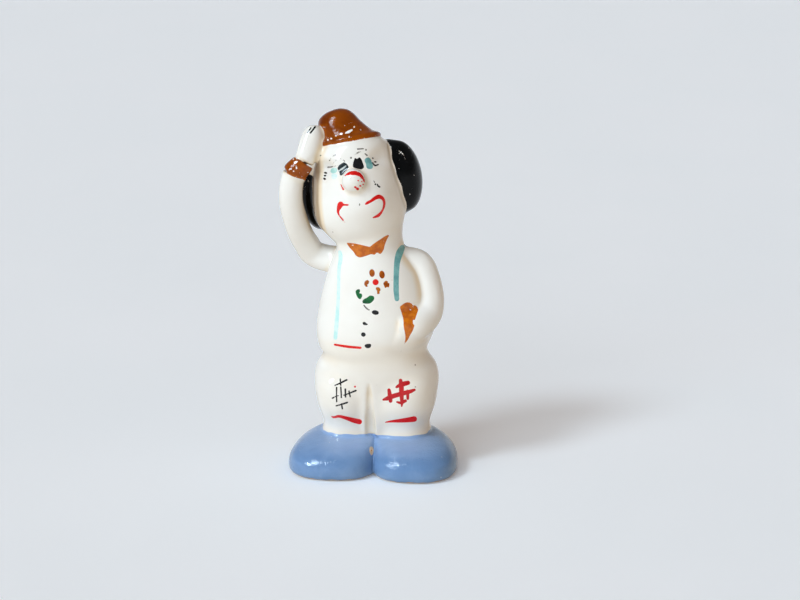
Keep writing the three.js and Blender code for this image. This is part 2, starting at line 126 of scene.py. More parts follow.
low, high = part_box("torso")
BODY = np.array([(low.x + high.x) / 2, (low.y + high.y) / 2, 0]) * 1000


def lerp(a, b, share):
    return a + (b - a) * share


def unit(vectors):
    return vectors / np.linalg.norm(vectors, axis=-1, keepdims=True)


# Curves and closed meshes

def catmull(points, per_span):
    """Points of a Catmull-Rom curve through the given points."""
    p = np.asarray(points, float)
    p = np.vstack([2 * p[0] - p[1], p, 2 * p[-1] - p[-2]])
    t = np.linspace(0, 1, per_span, endpoint=False)[:, None]
    spans = []
    for a, b, c, d in zip(p, p[1:], p[2:], p[3:]):
        square = (2 * a - 5 * b + 4 * c - d) * t**2
        cube = (3 * b - a - 3 * c + d) * t**3
        spans.append(0.5 * (2 * b + (c - a) * t + square + cube))
    return np.vstack(spans + [p[-2]])


def run_along(path):
    """How far along a path each of its points is."""
    return np.concatenate([[0], np.cumsum(np.linalg.norm(np.diff(path, axis=0), axis=1))])


def resample(path, spacing):
    """The same path with points evenly spaced along it."""
    run = run_along(path)
    count = max(2, int(round(run[-1] / spacing)) + 1)
    at = np.linspace(0, run[-1], count)
    return np.stack([np.interp(at, run, path[:, k]) for k in range(path.shape[1])], axis=1)


def skin(rings):
    """A closed mesh over rings of points that all have the same number of corners."""
    rings = np.asarray(rings, float)
    count, around, _ = rings.shape
    points = np.vstack([rings.reshape(-1, 3), rings[0].mean(0), rings[-1].mean(0)])
    bottom, top = count * around, count * around + 1
    j = np.arange(around)
    n = (j + 1) % around
    last = (count - 1) * around
    under = np.stack([np.full(around, bottom), n, j], 1)
    over = np.stack([np.full(around, top), last + j, last + n], 1)
    faces = [under, over]
    for i in range(0, last, around):
        faces.append(np.stack([i + j, i + n, i + around + j], 1))
        faces.append(np.stack([i + n, i + around + n, i + around + j], 1))
    return points, np.vstack(faces)


def loft(stations, base, height, power=2, swell=0):
    """A loft through stations (share of the height, half width, half depth, x, y) above a base."""
    rows = [[base + up * height, *rest] + [0] * (4 - len(rest)) for up, *rest in stations]
    rows = catmull(rows, STEPS)
    angle = np.linspace(0, 2 * math.pi, AROUND, endpoint=False)

    def bend(c):
        return np.sign(c) * np.abs(c) ** (2 / power)

    across = bend(np.cos(angle)) * (1 - swell * np.sin(angle))
    along = bend(np.sin(angle))
    rings = [np.stack([x + across * rx, y + along * ry, np.full(AROUND, z)], 1) for z, rx, ry, x, y in rows]
    return skin(rings)


def limb(path, half_width, half_thickness=None):
    """A tube along a path of evenly spaced points. It is round where no thickness is given."""
    tangents = unit(np.gradient(path, axis=0))
    wide = np.cross([0, 1, 0], tangents[0])
    angle = np.linspace(0, 2 * math.pi, AROUND // 2, endpoint=False)
    rings = []
    thickness = half_width if half_thickness is None else half_thickness
    for point, tangent, rw, rt in zip(path, tangents, half_width, thickness):
        wide = unit(wide - tangent * (wide @ tangent))
        thick = np.cross(tangent, wide)
        rings.append(point + np.outer(rw * np.cos(angle), wide) + np.outer(rt * np.sin(angle), thick))
    return skin(rings)


def ellipsoid(radii, middle):
    polar = np.linspace(0, math.pi, BALL_RINGS + 2)[1:-1][::-1]
    angle = np.linspace(0, 2 * math.pi, BALL_AROUND, endpoint=False)
    rings = []
    for t in polar:
        across, along = np.sin(t) * np.cos(angle), np.sin(t) * np.sin(angle)
        ring = np.stack([across, along, np.full(BALL_AROUND, np.cos(t))], 1)
        rings.append(ring * radii + middle)
    return skin(rings)


# The head's own frame: its origin is the middle of the neck seam.

HEAD_TURN = np.array(
    Matrix.Rotation(math.radians(-HEAD_PITCH), 3, "X") @ Matrix.Rotation(math.radians(-HEAD_TILT), 3, "Y")
)
HEAD_ORIGIN = np.array([-NECK_LEAN, 0, NECK_Z])


def from_head(mesh):
    points, faces = mesh
    return points @ HEAD_TURN.T + HEAD_ORIGIN, faces


def head_point(x, y, z):
    return np.array([x, y, z]) @ HEAD_TURN.T + HEAD_ORIGIN


# Castings

LEG_SPACING = LEG_WIDTH / 2 - LEG_OVERLAP


def shoe(side):
    shift = SHOE_SEAM / 2
    sole = (SHOE_WIDTH / 2 - side * shift, SHOE_LENGTH / 2, side * SHOE_SPLAY + shift, -SHOE_FORWARD)
    top = (LEG_WIDTH / 2, LEG_DEPTH / 2, side * LEG_SPACING, 0)
    profile = [(-0.1, 0.94, 0), (0, 0.94, 0), (0.18, 1, 0), (0.52, 0.985, 0.03), (0.79, 0.935, 0.21)]
    profile += [(0.94, 0.95, 0.58), (1, 1, 1)]
    stations = []
    for up, size, back in profile:
        rx, ry, x, y = (lerp(a, b, back) for a, b in zip(sole, top))
        stations.append((up, rx * size, ry * size, x, y))
    return loft(stations, 0, SHOE_HEIGHT, power=2.4, swell=TOE_SWELL)


def leg(side):
    rx, ry = LEG_WIDTH / 2, LEG_DEPTH / 2
    thigh_x, thigh_y = 0.5 * (HIP_WIDTH / 2 + LEG_OVERLAP), HIP_DEPTH / 2
    apart = HIP_WIDTH / 2 - thigh_x
    stations = []
    for up, x, y, out in [
        (-0.04, rx, ry, LEG_SPACING),
        (0, rx, ry, LEG_SPACING),
        (0.14, 0.97 * rx, 0.98 * ry, 0.98 * LEG_SPACING),
        (0.4, lerp(rx, thigh_x, 0.6), 0.87 * thigh_y, 0.96 * apart),
        (0.68, 0.96 * thigh_x, 0.87 * thigh_y, apart),
        (0.88, 0.74 * thigh_x, 0.66 * thigh_y, 0.9 * apart),
    ]:
        shift = LEG_SEAM / 2
        stations.append((up, x - side * shift, y, side * out + shift))
    return loft(stations, HEM_Z, TROUSER_HEIGHT, power=2.3)


def hips():
    shares = [(0.02, 0.42, 0.67), (0.3, 0.6, 0.77), (0.5, 0.86, 0.83), (0.68, 0.99, 0.9)]
    shares += [(0.86, 0.965, 0.96), (1, 0.84, 0.92), (1.08, 0.7, 0.8)]
    stations = [(up, x * HIP_WIDTH / 2, y * HIP_DEPTH / 2) for up, x, y in shares]
    return loft(stations, HEM_Z, TROUSER_HEIGHT)


def leg_groove(face):
    """What is carved away between the legs, at the front (face -1) and at the back (face 1)."""
    stations = []
    for up, size, out in [
        (-0.08, 1, LEG_DEPTH),
        (0.14, 1, 0.98 * LEG_DEPTH),
        (0.4, 0.85, 0.86 * HIP_DEPTH),
        (0.6, 0.5, 0.88 * HIP_DEPTH),
        (GROOVE_RISE, 0.1, 0.925 * HIP_DEPTH),
    ]:
        stations.append((up, size * GROOVE_WIDTH / 2, size * GROOVE_DEPTH, LEG_SEAM, face * out / 2))
    return loft(stations, HEM_Z, TROUSER_HEIGHT)


def torso():
    rx, ry, neck_x, neck_y = BELLY_WIDTH / 2, BELLY_DEPTH / 2, NECK_WIDTH / 2, NECK_DEPTH / 2
    # Under the pocket arm the waist draws in further than it does on the other side.
    belly = [(-0.03, 0.8, 0.8, 0.3), (0, 0.86, 0.86, 0.4), (0.08, 0.965, 0.96, 1.1), (0.24, 1, 1, 0.35)]
    shares = [(up, x * rx - draw, y * ry, -draw) for up, x, y, draw in belly]
    shares += [
        (0.46, 0.94 * rx, 0.93 * ry, 0),
        (0.68, 0.83 * rx, 0.8 * ry, 0),
        (0.83, lerp(0.78 * rx, neck_x, 0.35), 0.7 * ry, -0.3 * NECK_LEAN),
        (0.94, 1.08 * neck_x, 1.02 * neck_y, -0.8 * NECK_LEAN),
        (1.1, neck_x, neck_y, -NECK_LEAN),
    ]
    return loft(shares, WAIST_Z, TORSO_HEIGHT)


def head():
    rx, ry = HEAD_WIDTH / 2, HEAD_DEPTH / 2
    shares = [
        (-0.04, 0.9 * NECK_WIDTH / 2, 0.9 * NECK_DEPTH / 2, 0, 0),
        (0, NECK_WIDTH / 2, NECK_DEPTH / 2, 0, 0),
        (0.1, 0.86 * rx, 0.88 * ry, -0.4, -0.03),
        (0.23, rx, 0.97 * ry, -1, -0.03),
        (0.42, 0.99 * rx, ry, -0.9, -0.01),
        (0.6, 0.905 * rx, 0.965 * ry, -0.7, 0),
        (0.77, 0.79 * rx, 0.83 * ry, -0.1, 0),
        (0.85, 0.57 * rx, 0.61 * ry, -0.5, 0),
        (0.93, 0.33 * rx, 0.36 * ry, -1, 0),
        (1, 0.09 * rx, 0.1 * ry, -1.5, 0),
    ]
    stations = [(up, x, y, lean * CHEEK_LEAN, front * HEAD_DEPTH) for up, x, y, lean, front in shares]
    return from_head(loft(stations, 0, HEAD_HEIGHT))


NOSE_PLACE = (0.5 * CHEEK_LEAN, -0.5 * HEAD_DEPTH - 0.25 * NOSE_RADIUS, 0.5 * HEAD_HEIGHT)
HAT_SEAT = 0.825 * HEAD_HEIGHT


def hat():
    brim, crown = BRIM_WIDTH / 2, CROWN_WIDTH / 2
    profile = [
        (-0.12, 0.84 * brim, 0),
        (-0.04, 0.98 * brim, 0),
        (0.04, 1.05 * brim, 0),
        (0.12, 1.02 * brim, 0.08),
        (0.2, 0.89 * brim, 0.25),
        (0.34, lerp(brim, crown, 0.62), 0.5),
        (0.55, 1.04 * crown, 0.85),
        (0.78, 0.86 * crown, 1),
        (0.93, 0.55 * crown, 0.9),
        (1, 0.15 * crown, 0.75),
    ]
    stations = [(up, r, r, -lean * CROWN_LEAN) for up, r, lean in profile]
    return from_head(loft(stations, HAT_SEAT, HAT_HEIGHT))


def hair(side):
    """A tuft beside the head that turns in at both ends. The right one hangs lower and further back."""
    rx, ry = HAIR_WIDTH / 2, HAIR_DEPTH / 2
    back, drop, reach = (0.16, 0, 0) if side > 0 else (0.25, RIGHT_HAIR_DROP, RIGHT_HAIR_REACH)
    profile = [(-1, 0.1, 0.12, 0.39), (-0.84, 0.59, 0.56, 0.45), (-0.48, 0.91, 0.88, 0.48)]
    profile += [(0, 1, 1, 0.497), (0.48, 0.93, 0.88, 0.48), (0.84, 0.6, 0.56, 0.45), (1, 0.1, 0.12, 0.39)]
    stations = []
    for up, x, y, out in profile:
        stations.append((up, x * rx, y * ry, side * (out * HEAD_WIDTH + reach), back * HEAD_DEPTH))
    return from_head(loft(stations, 0.467 * HEAD_HEIGHT - drop, HAIR_HEIGHT / 2))


SHOULDER_Z = WAIST_Z + 0.79 * TORSO_HEIGHT


def raised_arm():
    """Sleeve, cuff and hand along one curve, from inside the shoulder to the side of the hat."""
    out = -BELLY_WIDTH / 2 - ARM_REACH
    tips = head_point(-0.48 * BRIM_WIDTH, -0.29 * BRIM_WIDTH, HAT_SEAT + 0.63 * HAT_HEIGHT)
    wrist = head_point(-0.77 * BRIM_WIDTH, -0.41 * BRIM_WIDTH, HAT_SEAT - 0.3 * HAT_HEIGHT)
    rise = wrist[2] - SHOULDER_Z

    def at(x, y, up, lower=0):
        return (x, y, SHOULDER_Z + up * rise - lower)

    path = resample(catmull([
        at(-0.12 * BELLY_WIDTH, 0.4 * SHOULDER_BACK, 0, SHOULDER_DROP),
        at(out + ARM_REACH, 0.85 * SHOULDER_BACK, 0.05, 0.9 * SHOULDER_DROP),
        at(out + 0.48 * ARM_REACH, 0.46 * SHOULDER_BACK, 0.19, 0.7 * SHOULDER_DROP),
        at(out + 0.2 * ARM_REACH, -0.22 * WRIST_FORWARD, 0.37, 0.4 * SHOULDER_DROP),
        at(out, -0.89 * WRIST_FORWARD, 0.62),
        at(out + 0.14 * ARM_REACH, -WRIST_FORWARD, 0.86),
        wrist,
        tips,
    ], 24), 0.4)
    run = run_along(path)
    wrist_at = run[-1] - HAND_LENGTH
    cuff_at = wrist_at - CUFF_LENGTH

    def stretch(start, end, radii_at):
        keep = (run >= start) & (run <= end)
        share = (run[keep] - start) / (end - start)
        return limb(path[keep], *radii_at(share))

    def sleeve(s):
        return [ARM_RADIUS * (1 + 0.2 * (1 - s) ** 3 - 0.1 * s**2)]

    def cuff(s):
        return [0.9 * ARM_RADIUS + CUFF_STEP - 0.4 * s]

    def hand(s):
        palm = 0.9 + 0.12 * np.sin(math.pi * s)
        tip = np.sqrt(1 - 0.94 * (np.maximum(0, s - 0.6) / 0.4) ** 3)
        return palm * tip * HAND_WIDTH / 2, palm * tip * HAND_THICKNESS / 2

    return stretch(0, cuff_at, sleeve), stretch(cuff_at, wrist_at, cuff), stretch(wrist_at, run[-1], hand)


def pocket_arm():
    pocket_z = WAIST_Z + 0.32 * TORSO_HEIGHT
    elbow_x = BELLY_WIDTH / 2 - ARM_RADIUS + ELBOW_REACH
    drop = SHOULDER_Z - pocket_z
    path = resample(catmull([
        (0.2 * BELLY_WIDTH, 0, SHOULDER_Z + 0.36 * ARM_RADIUS),
        (0.35 * BELLY_WIDTH, 0, SHOULDER_Z),
        (0.93 * elbow_x, -0.38 * ELBOW_FORWARD, SHOULDER_Z - 0.28 * drop),
        (elbow_x, -ELBOW_FORWARD, SHOULDER_Z - 0.6 * drop),
        (0.97 * elbow_x, -0.17 * BELLY_DEPTH, SHOULDER_Z - 0.85 * drop),
        (0.78 * elbow_x, -0.3 * BELLY_DEPTH, pocket_z),
        (0.5 * elbow_x, -0.31 * BELLY_DEPTH, pocket_z),
    ], 24), 0.4)
    return limb(path, ARM_RADIUS * (1.1 + 0.1 * np.linspace(0, 1, len(path))))


# Level sets on one shared grid

LOW = np.floor((np.array([cad_box[0][k] for k in range(3)]) * 1000 - BODY - MARGIN) / VOXEL).astype(int)
HIGH = np.ceil((np.array([cad_box[1][k] for k in range(3)]) * 1000 - BODY + MARGIN) / VOXEL).astype(int)
SHAPE = tuple(HIGH - LOW)
FAR = BAND * VOXEL
TRANSFORM = openvdb.createLinearTransform(voxelSize=VOXEL)
COORDS = [((LOW[k] + np.arange(SHAPE[k])) * VOXEL).astype(np.float32) for k in range(3)]
GRID_X, GRID_Y, GRID_Z = np.meshgrid(*COORDS, indexing="ij", sparse=True)


def level_set(mesh):
    """Signed distances to a closed mesh, negative inside."""
    points, faces = mesh
    grid = openvdb.FloatGrid.createLevelSetFromPolygons(
        points.astype(np.float32), triangles=faces.astype(np.uint32), transform=TRANSFORM, halfWidth=BAND
    )
    distances = np.full(SHAPE, FAR, np.float32)
    grid.copyToArray(distances, ijk=tuple(int(v) for v in LOW))
    return distances


def join(a, b, fillet):
    """The union of two level sets with a fillet of slip where they meet."""
    h = np.maximum(fillet - np.abs(a - b), 0) / fillet
    return np.minimum(a, b) - h * h * fillet / 4


def cut(a, b, fillet):
    """What is left of a outside b, with a rounded edge."""
    return -join(-a, b, fillet)


def sample(values, points):
    """Values of a grid at points, read between its voxels."""
    at = points / VOXEL - LOW
    base = np.clip(np.floor(at).astype(int), 0, np.array(SHAPE) - 2)
    f = (at - base).astype(np.float32)
    i, j, k = base.T
    u, v, w = f.T
    total = 0
    for di, wu in ((0, 1 - u), (1, u)):
        for dj, wv in ((0, 1 - v), (1, v)):
            for dk, ww in ((0, 1 - w), (1, w)):
                total = total + values[i + di, j + dj, k + dk] * wu * wv * ww
    return total


meshes = {
    "right_shoe": shoe(-1),
    "left_shoe": shoe(1),
    "torso": torso(),
    "pocket_arm": pocket_arm(),
    "nose": from_head(ellipsoid((NOSE_RADIUS,) * 3, NOSE_PLACE)),
    "hat": hat(),
    "right_hair": hair(-1),
    "left_hair": hair(1),
}
meshes.update(zip(("raised_sleeve", "raised_cuff", "raised_hand"), raised_arm()))
sets = {name: level_set(mesh) for name, mesh in meshes.items()}
legs = join(level_set(leg(-1)), level_set(leg(1)), FILLET["legs"])
sets["trousers"] = join(legs, level_set(hips()), FILLET["hips"])
for face in (-1, 1):
    sets["trousers"] = cut(sets["trousers"], level_set(leg_groove(face)), FILLET["groove"])

muzzle = from_head(ellipsoid(MUZZLE_RADII, MUZZLE_PLACE))
skull = join(level_set(head()), level_set(muzzle), FILLET["muzzle"])
# The brow and the cheekbone stand out over a shallow hollow beside each eye.
for side in (-1, 1):
    x, y, z = EYE_HOLLOW_PLACE
    hollow = from_head(ellipsoid(EYE_HOLLOW_RADII, (x + side * EYE_HOLLOW_SPACING, y, z)))
    skull = cut(skull, level_set(hollow), FILLET["eye_hollow"])
sets["head"] = skull

# The waist's fillet is larger at the front, and the pocket arm's is larger below the elbow.
waist = FILLET["waist"] + FILLET["waist_front"] * np.clip((WAIST_FRONT_Y - GRID_Y) / WAIST_FRONT_SPAN, 0, 1)
below_elbow = np.clip((WAIST_Z + 0.3 * TORSO_HEIGHT - GRID_Z) / ELBOW_SPAN, 0, 1)
under_arm = FILLET["arm"] + FILLET["under_arm"] * below_elbow
fused = join(sets["right_shoe"], sets["left_shoe"], FILLET["shoes"])
fused = join(fused, sets["trousers"], FILLET["hem"])
fused = join(fused, join(sets["torso"], sets["pocket_arm"], under_arm), waist)
fused = join(fused, sets["raised_sleeve"], FILLET["sleeve"])
crown = sets["head"]
for name in ("nose", "right_hair", "left_hair", "hat"):
    crown = join(crown, sets[name], FILLET[name])
hand = join(sets["raised_cuff"], sets["raised_hand"], FILLET["cuff"])
crown = join(crown, hand, FILLET["hand"])
fused = join(fused, crown, FILLET["neck"])
fused = cut(fused, np.broadcast_to(GRID_Z, SHAPE), FILLET["sole"])
for side in (-1, 1):
    bore = np.hypot(GRID_X - side * SHOE_SPLAY - SHOE_SEAM / 2, GRID_Y + SHOE_FORWARD) - VENT_RADIUS
    fused = cut(fused, np.maximum(bore, GRID_Z - VENT_DEPTH), FILLET["vent"])
fused = fused.astype(np.float32)


# The fused surface

def triangles_of(field):
    grid = openvdb.FloatGrid(FAR)
    grid.transform = TRANSFORM
    grid.copyFromArray(np.clip(field, -FAR, FAR), ijk=tuple(int(v) for v in LOW))
    points, faces, quads = grid.convertToPolygons(isovalue=0.0, adaptivity=0.0)
    halves = [faces.reshape(-1, 3), quads[:, [0, 1, 2]], quads[:, [0, 2, 3]]]
    return points.astype(float), np.vstack(halves).astype(int)


def neighbour_mean(values, faces, count):
    """The mean over each vertex's neighbours."""
    total = np.zeros((count, values.shape[1]))
    weight = np.zeros(count)
    for a, b in ((0, 1), (1, 2), (2, 0)):
        for i, j in ((a, b), (b, a)):
            for k in range(values.shape[1]):
                total[:, k] += np.bincount(faces[:, i], values[faces[:, j], k], count)
            weight += np.bincount(faces[:, i], minlength=count)
    return total / np.maximum(weight, 1)[:, None]


def vertex_normals(points, faces):
    a, b, c = (points[faces[:, k]] for k in range(3))
    normal = np.cross(b - a, c - a)
    total = np.zeros_like(points)
    for k in range(3):
        for axis in range(3):
            total[:, axis] += np.bincount(faces[:, k], normal[:, axis], len(points))
    return total / np.maximum(np.linalg.norm(total, axis=1), 1e-12)[:, None]


points, faces = triangles_of(fused)
a, b, c = points[faces[:, 0]], points[faces[:, 1]], points[faces[:, 2]]
if np.sum(a * np.cross(b, c)) < 0:
    faces = faces[:, ::-1]
for pull in (0.5, -0.52) * 3:
    points = points + pull * (neighbour_mean(points, faces, len(points)) - points)
normals = vertex_normals(points, faces)
for _ in range(2):
    normals = unit(normals + neighbour_mean(normals, faces, len(points)))

# How closed in each point is: 0 in the open, towards 1 deep in a crease.
# The glazes take it as pooled glaze and as painted shade in the creases.
crease = np.zeros(len(points))
for reach, weight in ((0.8, 0.4), (1.8, 0.35), (3.2, 0.25)):
    crease += weight * np.clip(1 - sample(fused, points + reach * normals) / reach, 0, 1)


def nearest(*names):
    """The distance from each point to the nearest of some castings."""
    return np.min([sample(sets[name], points) for name in names], axis=0)


# Painted shadow beside the face, painted shade inside the pocket arm, and warmth above the shoes.
x, y, z = points.T
before = np.clip((SHADE_BACK_Y - y) / SHADE_BACK_SPAN, 0, 1)
head_gap = nearest("head", "right_hair")
on_head = np.clip(nearest("raised_sleeve", "raised_cuff", "raised_hand", "torso") - head_gap, 0, 1)
# Distances are cut off past the band, where they say nothing about which casting is nearer.
on_head *= np.clip(2 - head_gap, 0, 1)
face_edge = FACE_EDGE_X + FACE_EDGE_SLOPE * np.maximum(FACE_EDGE_Z - z, 0)
beside_face = SHADOW_BESIDE_FACE * np.clip((face_edge - x) / FACE_SPAN, 0, 1) * on_head
arm_gap = nearest("pocket_arm")
over_pocket = np.clip((z - WAIST_Z - 0.44 * TORSO_HEIGHT) / POCKET_TOP_SPAN, 0, 1)
on_torso = np.clip(arm_gap - nearest("torso"), 0, 1)
inside_arm = SHADE_INSIDE_ARM * np.clip(1 - arm_gap / ARM_SPAN, 0, 1) * on_torso * over_pocket
above_shoes = WARM_ABOVE_SHOES * np.clip(1 - (z - HEM_Z) / SHOE_SPAN, 0, 1)
crease = np.max([crease, before * beside_face, before * inside_arm, above_shoes], axis=0)


# Parting the surface into the frame's pieces

def wobble(points, size, pace=1):
    """A slow wander of a hand-painted edge."""
    x, y, z = pace * points.T
    waves = np.sin(1.1 * x + 0.7 * z) + np.sin(1.7 * y - 0.9 * x + 1.3) + np.sin(2.3 * z + 0.8 * y)
    return size * waves / 3


class Surface:
    """A triangle mesh with a table of values for each vertex: place, normal, crease and rim."""

    def __init__(self, values, faces):
        used, back = np.unique(faces, return_inverse=True)
        self.values = values[used]
        self.faces = back.reshape(-1, 3)

    @property
    def points(self):
        return self.values[:, :3]

    def part(self, field):
        """The surface where the field is negative, and the rest, cut along the field's zero line."""
        field = np.where(np.abs(field) < 1e-4, 1e-4, field)
        inside = field < 0
        count = inside[self.faces].sum(1)
        kept = {True: [self.faces[count == 3]], False: [self.faces[count == 0]]}
        split = self.faces[(count == 1) | (count == 2)]
        lone = inside[split].sum(1) == 1
        odd = np.argmax(inside[split] == lone[:, None], axis=1)
        rows = np.arange(len(split))
        a, b, c = split[rows, odd], split[rows, (odd + 1) % 3], split[rows, (odd + 2) % 3]
        ends = np.sort(np.vstack([np.stack([a, b], 1), np.stack([a, c], 1)]), axis=1)
        edges, index = np.unique(ends, axis=0, return_inverse=True)
        index = index.reshape(-1) + len(self.values)
        p, q = index[: len(split)], index[len(split):]
        f0, f1 = field[edges[:, 0]], field[edges[:, 1]]
        share = (f0 / (f0 - f1))[:, None]
        made = self.values[edges[:, 0]] * (1 - share) + self.values[edges[:, 1]] * share
        values = np.vstack([self.values, made])
        tip = np.stack([a, p, q], 1)
        rest = np.vstack([np.stack([p, b, c], 1), np.stack([p, c, q], 1)])
        both = np.concatenate([lone, lone])
        kept[True] += [tip[lone], rest[~both]]
        kept[False] += [tip[~lone], rest[both]]
        return Surface(values, np.vstack(kept[True])), Surface(values, np.vstack(kept[False]))

    def loops(self):
        """The open edges as closed loops of vertices, in the direction of their faces."""
        edges = np.vstack([self.faces[:, [0, 1]], self.faces[:, [1, 2]], self.faces[:, [2, 0]]])
        keys = {(i, j) for i, j in edges.tolist()}
        follow = {i: j for i, j in edges.tolist() if (j, i) not in keys}
        found = []
        while follow:
            start, at = follow.popitem()
            loop = [start]
            while at != start and at in follow:
                loop.append(at)
                at = follow.pop(at)
            found.append(loop)
        return found


def mesh_object(name, points, faces, loop_normals, material, floats=None):
    """A smooth mesh with its own normals. Points are in millimetres on the body's axis."""
    mesh = bpy.data.meshes.new(name)
    mesh.vertices.add(len(points))
    mesh.vertices.foreach_set("co", ((points + BODY) / 1000).astype(np.float32).ravel())
    mesh.loops.add(faces.size)
    mesh.loops.foreach_set("vertex_index", faces.astype(np.int32).ravel())
    mesh.polygons.add(len(faces))
    mesh.polygons.foreach_set("loop_start", np.arange(0, faces.size, 3, dtype=np.int32))
    mesh.update()
    for key, values in (floats or {}).items():
        attribute = mesh.attributes.new(key, "FLOAT", "POINT")
        attribute.data.foreach_set("value", values.astype(np.float32))
    mesh.polygons.foreach_set("use_smooth", np.ones(len(faces), bool))
    mesh.normals_split_custom_set(loop_normals.astype(np.float32))
    mesh.materials.append(material)
    piece = bpy.data.objects.new(name, mesh)
    bpy.context.scene.collection.objects.link(piece)
    return piece


def casting(node, surface, material):
    """A closed piece that stands for one CAD node: its share of the skin, with its openings closed."""
    values, faces = surface.values, surface.faces
    normals = values[:, 3:6][faces].reshape(-1, 3)
    caps, cap_normals = [], []
    for loop in surface.loops():
        ring = values[loop]
        middle = ring.mean(0)
        middle[6:] = 0
        hub = len(values)
        values = np.vstack([values, middle])
        for i, j in zip(loop, loop[1:] + loop[:1]):
            normal = np.cross(values[i, :3] - values[j, :3], middle[:3] - values[j, :3])
            normal /= max(np.linalg.norm(normal), 1e-9)
            caps.append((j, i, hub))
            cap_normals += [normal] * 3
    if caps:
        faces = np.vstack([faces, caps])
        normals = np.vstack([normals, cap_normals])
    floats = {"crease": values[:, 6], "rim": values[:, 7]}
    piece = mesh_object("glazed_" + node, values[:, :3], faces, normals, material, floats)
    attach(piece, "root")
    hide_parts(node)


# Materials

def srgb(red, green, blue):
    def line(v):
        v = v / 255
        return v / 12.92 if v <= 0.04045 else ((v + 0.055) / 1.055) ** 2.4

    return (line(red), line(green), line(blue), 1)


class Nodes:
    """The nodes of a material or a world, made by short calls."""

    def __init__(self, owner, shader="Principled BSDF"):
        owner.use_nodes = True
        self.owner = owner
        self.tree = owner.node_tree
        self.shader = self.tree.nodes[shader]
        self.coordinates = self.make("ShaderNodeTexCoord").outputs
        self.place = self.coordinates["Object"]

    def make(self, kind, inputs=None, **settings):
        node = self.tree.nodes.new(kind)
        for key, value in settings.items():
            setattr(node, key, value)
        for key, value in (inputs or {}).items():
            self.put(node.inputs[key], value)
        return node

    def put(self, socket, value):
        if isinstance(value, bpy.types.NodeSocket):
            self.tree.links.new(value, socket)
        else:
            socket.default_value = value

    def shade(self, name, value):
        self.put(self.shader.inputs[name], value)

    def noise(self, scale, detail=2, roughness=0.5, distortion=0):
        inputs = {"Vector": self.place, "Scale": scale, "Detail": detail, "Roughness": roughness}
        inputs["Distortion"] = distortion
        return self.make("ShaderNodeTexNoise", inputs).outputs["Fac"]

    def ramp(self, value, low, high, start=0.0, end=1.0):
        inputs = {"Value": value, "From Min": low, "From Max": high, "To Min": start, "To Max": end}
        return self.make("ShaderNodeMapRange", inputs, interpolation_type="SMOOTHSTEP").outputs["Result"]

    def attribute(self, name):
        return self.make("ShaderNodeAttribute", attribute_name=name).outputs["Fac"]

    def math(self, operation, a, b):
        return self.make("ShaderNodeMath", {0: a, 1: b}, operation=operation, use_clamp=True).outputs[0]

    def mix(self, factor, a, b):
        node = self.make("ShaderNodeMix", data_type="RGBA")
        self.put(node.inputs[0], factor)
        self.put(node.inputs[6], a)
        self.put(node.inputs[7], b)
        return node.outputs[2]

    def specks(self, scale, size, share):
        """Small round spots in a share of the cells of a grid."""
        cells = self.make("ShaderNodeTexVoronoi", {"Vector": self.place, "Scale": scale, "Randomness": 1.0})
        parts = self.make("ShaderNodeSeparateColor", {"Color": cells.outputs["Color"]})
        spot = self.ramp(cells.outputs["Distance"], size * 0.6, size, 1, 0)
        chosen = self.math("LESS_THAN", parts.outputs[0], share)
        return self.math("MULTIPLY", spot, chosen)

    def seen(self):
        """1 for what the camera, a mirror or glass shows, and 0 for light that falls on the clown."""
        rays = self.make("ShaderNodeLightPath").outputs
        seen = self.math("MAXIMUM", rays["Is Camera Ray"], rays["Is Glossy Ray"])
        return self.math("MAXIMUM", seen, rays["Is Transmission Ray"])

    def bump(self, *layers):
        normal = None
        for height, distance, strength in layers:
            inputs = {"Height": height, "Distance": distance, "Strength": strength}
            if normal is not None:
                inputs["Normal"] = normal
            normal = self.make("ShaderNodeBump", inputs).outputs["Normal"]
        self.shade("Normal", normal)

    def finish(self, colour, roughness):
        self.shade("Base Color", colour)
        self.shade("Roughness", roughness)
        return self.owner


IVORY, WHITE = srgb(243, 242, 239), srgb(247, 247, 245)
# The warm crease colour is pooled glaze and painted shade; the darker crease colour is painted shade.
POOLED_AND_SHADE, BISQUE = srgb(238, 214, 172), srgb(186, 158, 120)
SPECK, DEEP_SHADE = srgb(120, 92, 66), srgb(138, 108, 76)
SAG_DEPTH, PIT_DEPTH, CHIP_DEPTH = 0.00022, 0.00007, 0.00012  # metres


def glaze_relief(nodes, peel, pits, chips=None):
    """The slow sag of a dipped glaze, its orange peel, the pits of burst bubbles and the edges of chips."""
    layers = [(nodes.noise(190, 2), SAG_DEPTH, 0.35), (nodes.noise(1500, 1), peel, 1)]
    layers.append((nodes.specks(620, 0.17, pits), -PIT_DEPTH, 1))
    if chips is not None:
        layers.append((chips, -CHIP_DEPTH, 0.5))
    nodes.bump(*layers)


def porcelain():
    nodes = Nodes(bpy.data.materials.new("porcelain_glaze"))
    tone = nodes.mix(nodes.ramp(nodes.noise(70, 3), 0.35, 0.65), IVORY, WHITE)
    # Warmer with pooled glaze and painted shade in creases and above the shoes; painted shade darker in the
    # deepest creases and beside the face.
    pool_and_shade = nodes.ramp(nodes.attribute("crease"), 0.05, 0.62, 0, 0.65)
    tone = nodes.mix(pool_and_shade, tone, POOLED_AND_SHADE)
    tone = nodes.mix(nodes.ramp(nodes.attribute("crease"), 0.6, 1, 0, 0.7), tone, DEEP_SHADE)
    specks = nodes.specks(260, 0.09, 0.16)
    tone = nodes.mix(nodes.math("MULTIPLY", specks, 0.6), tone, SPECK)
    glaze_relief(nodes, 0.000012, 0.08)
    return nodes.finish(tone, nodes.ramp(nodes.noise(420, 2), 0.3, 0.7, 0.06, 0.12))


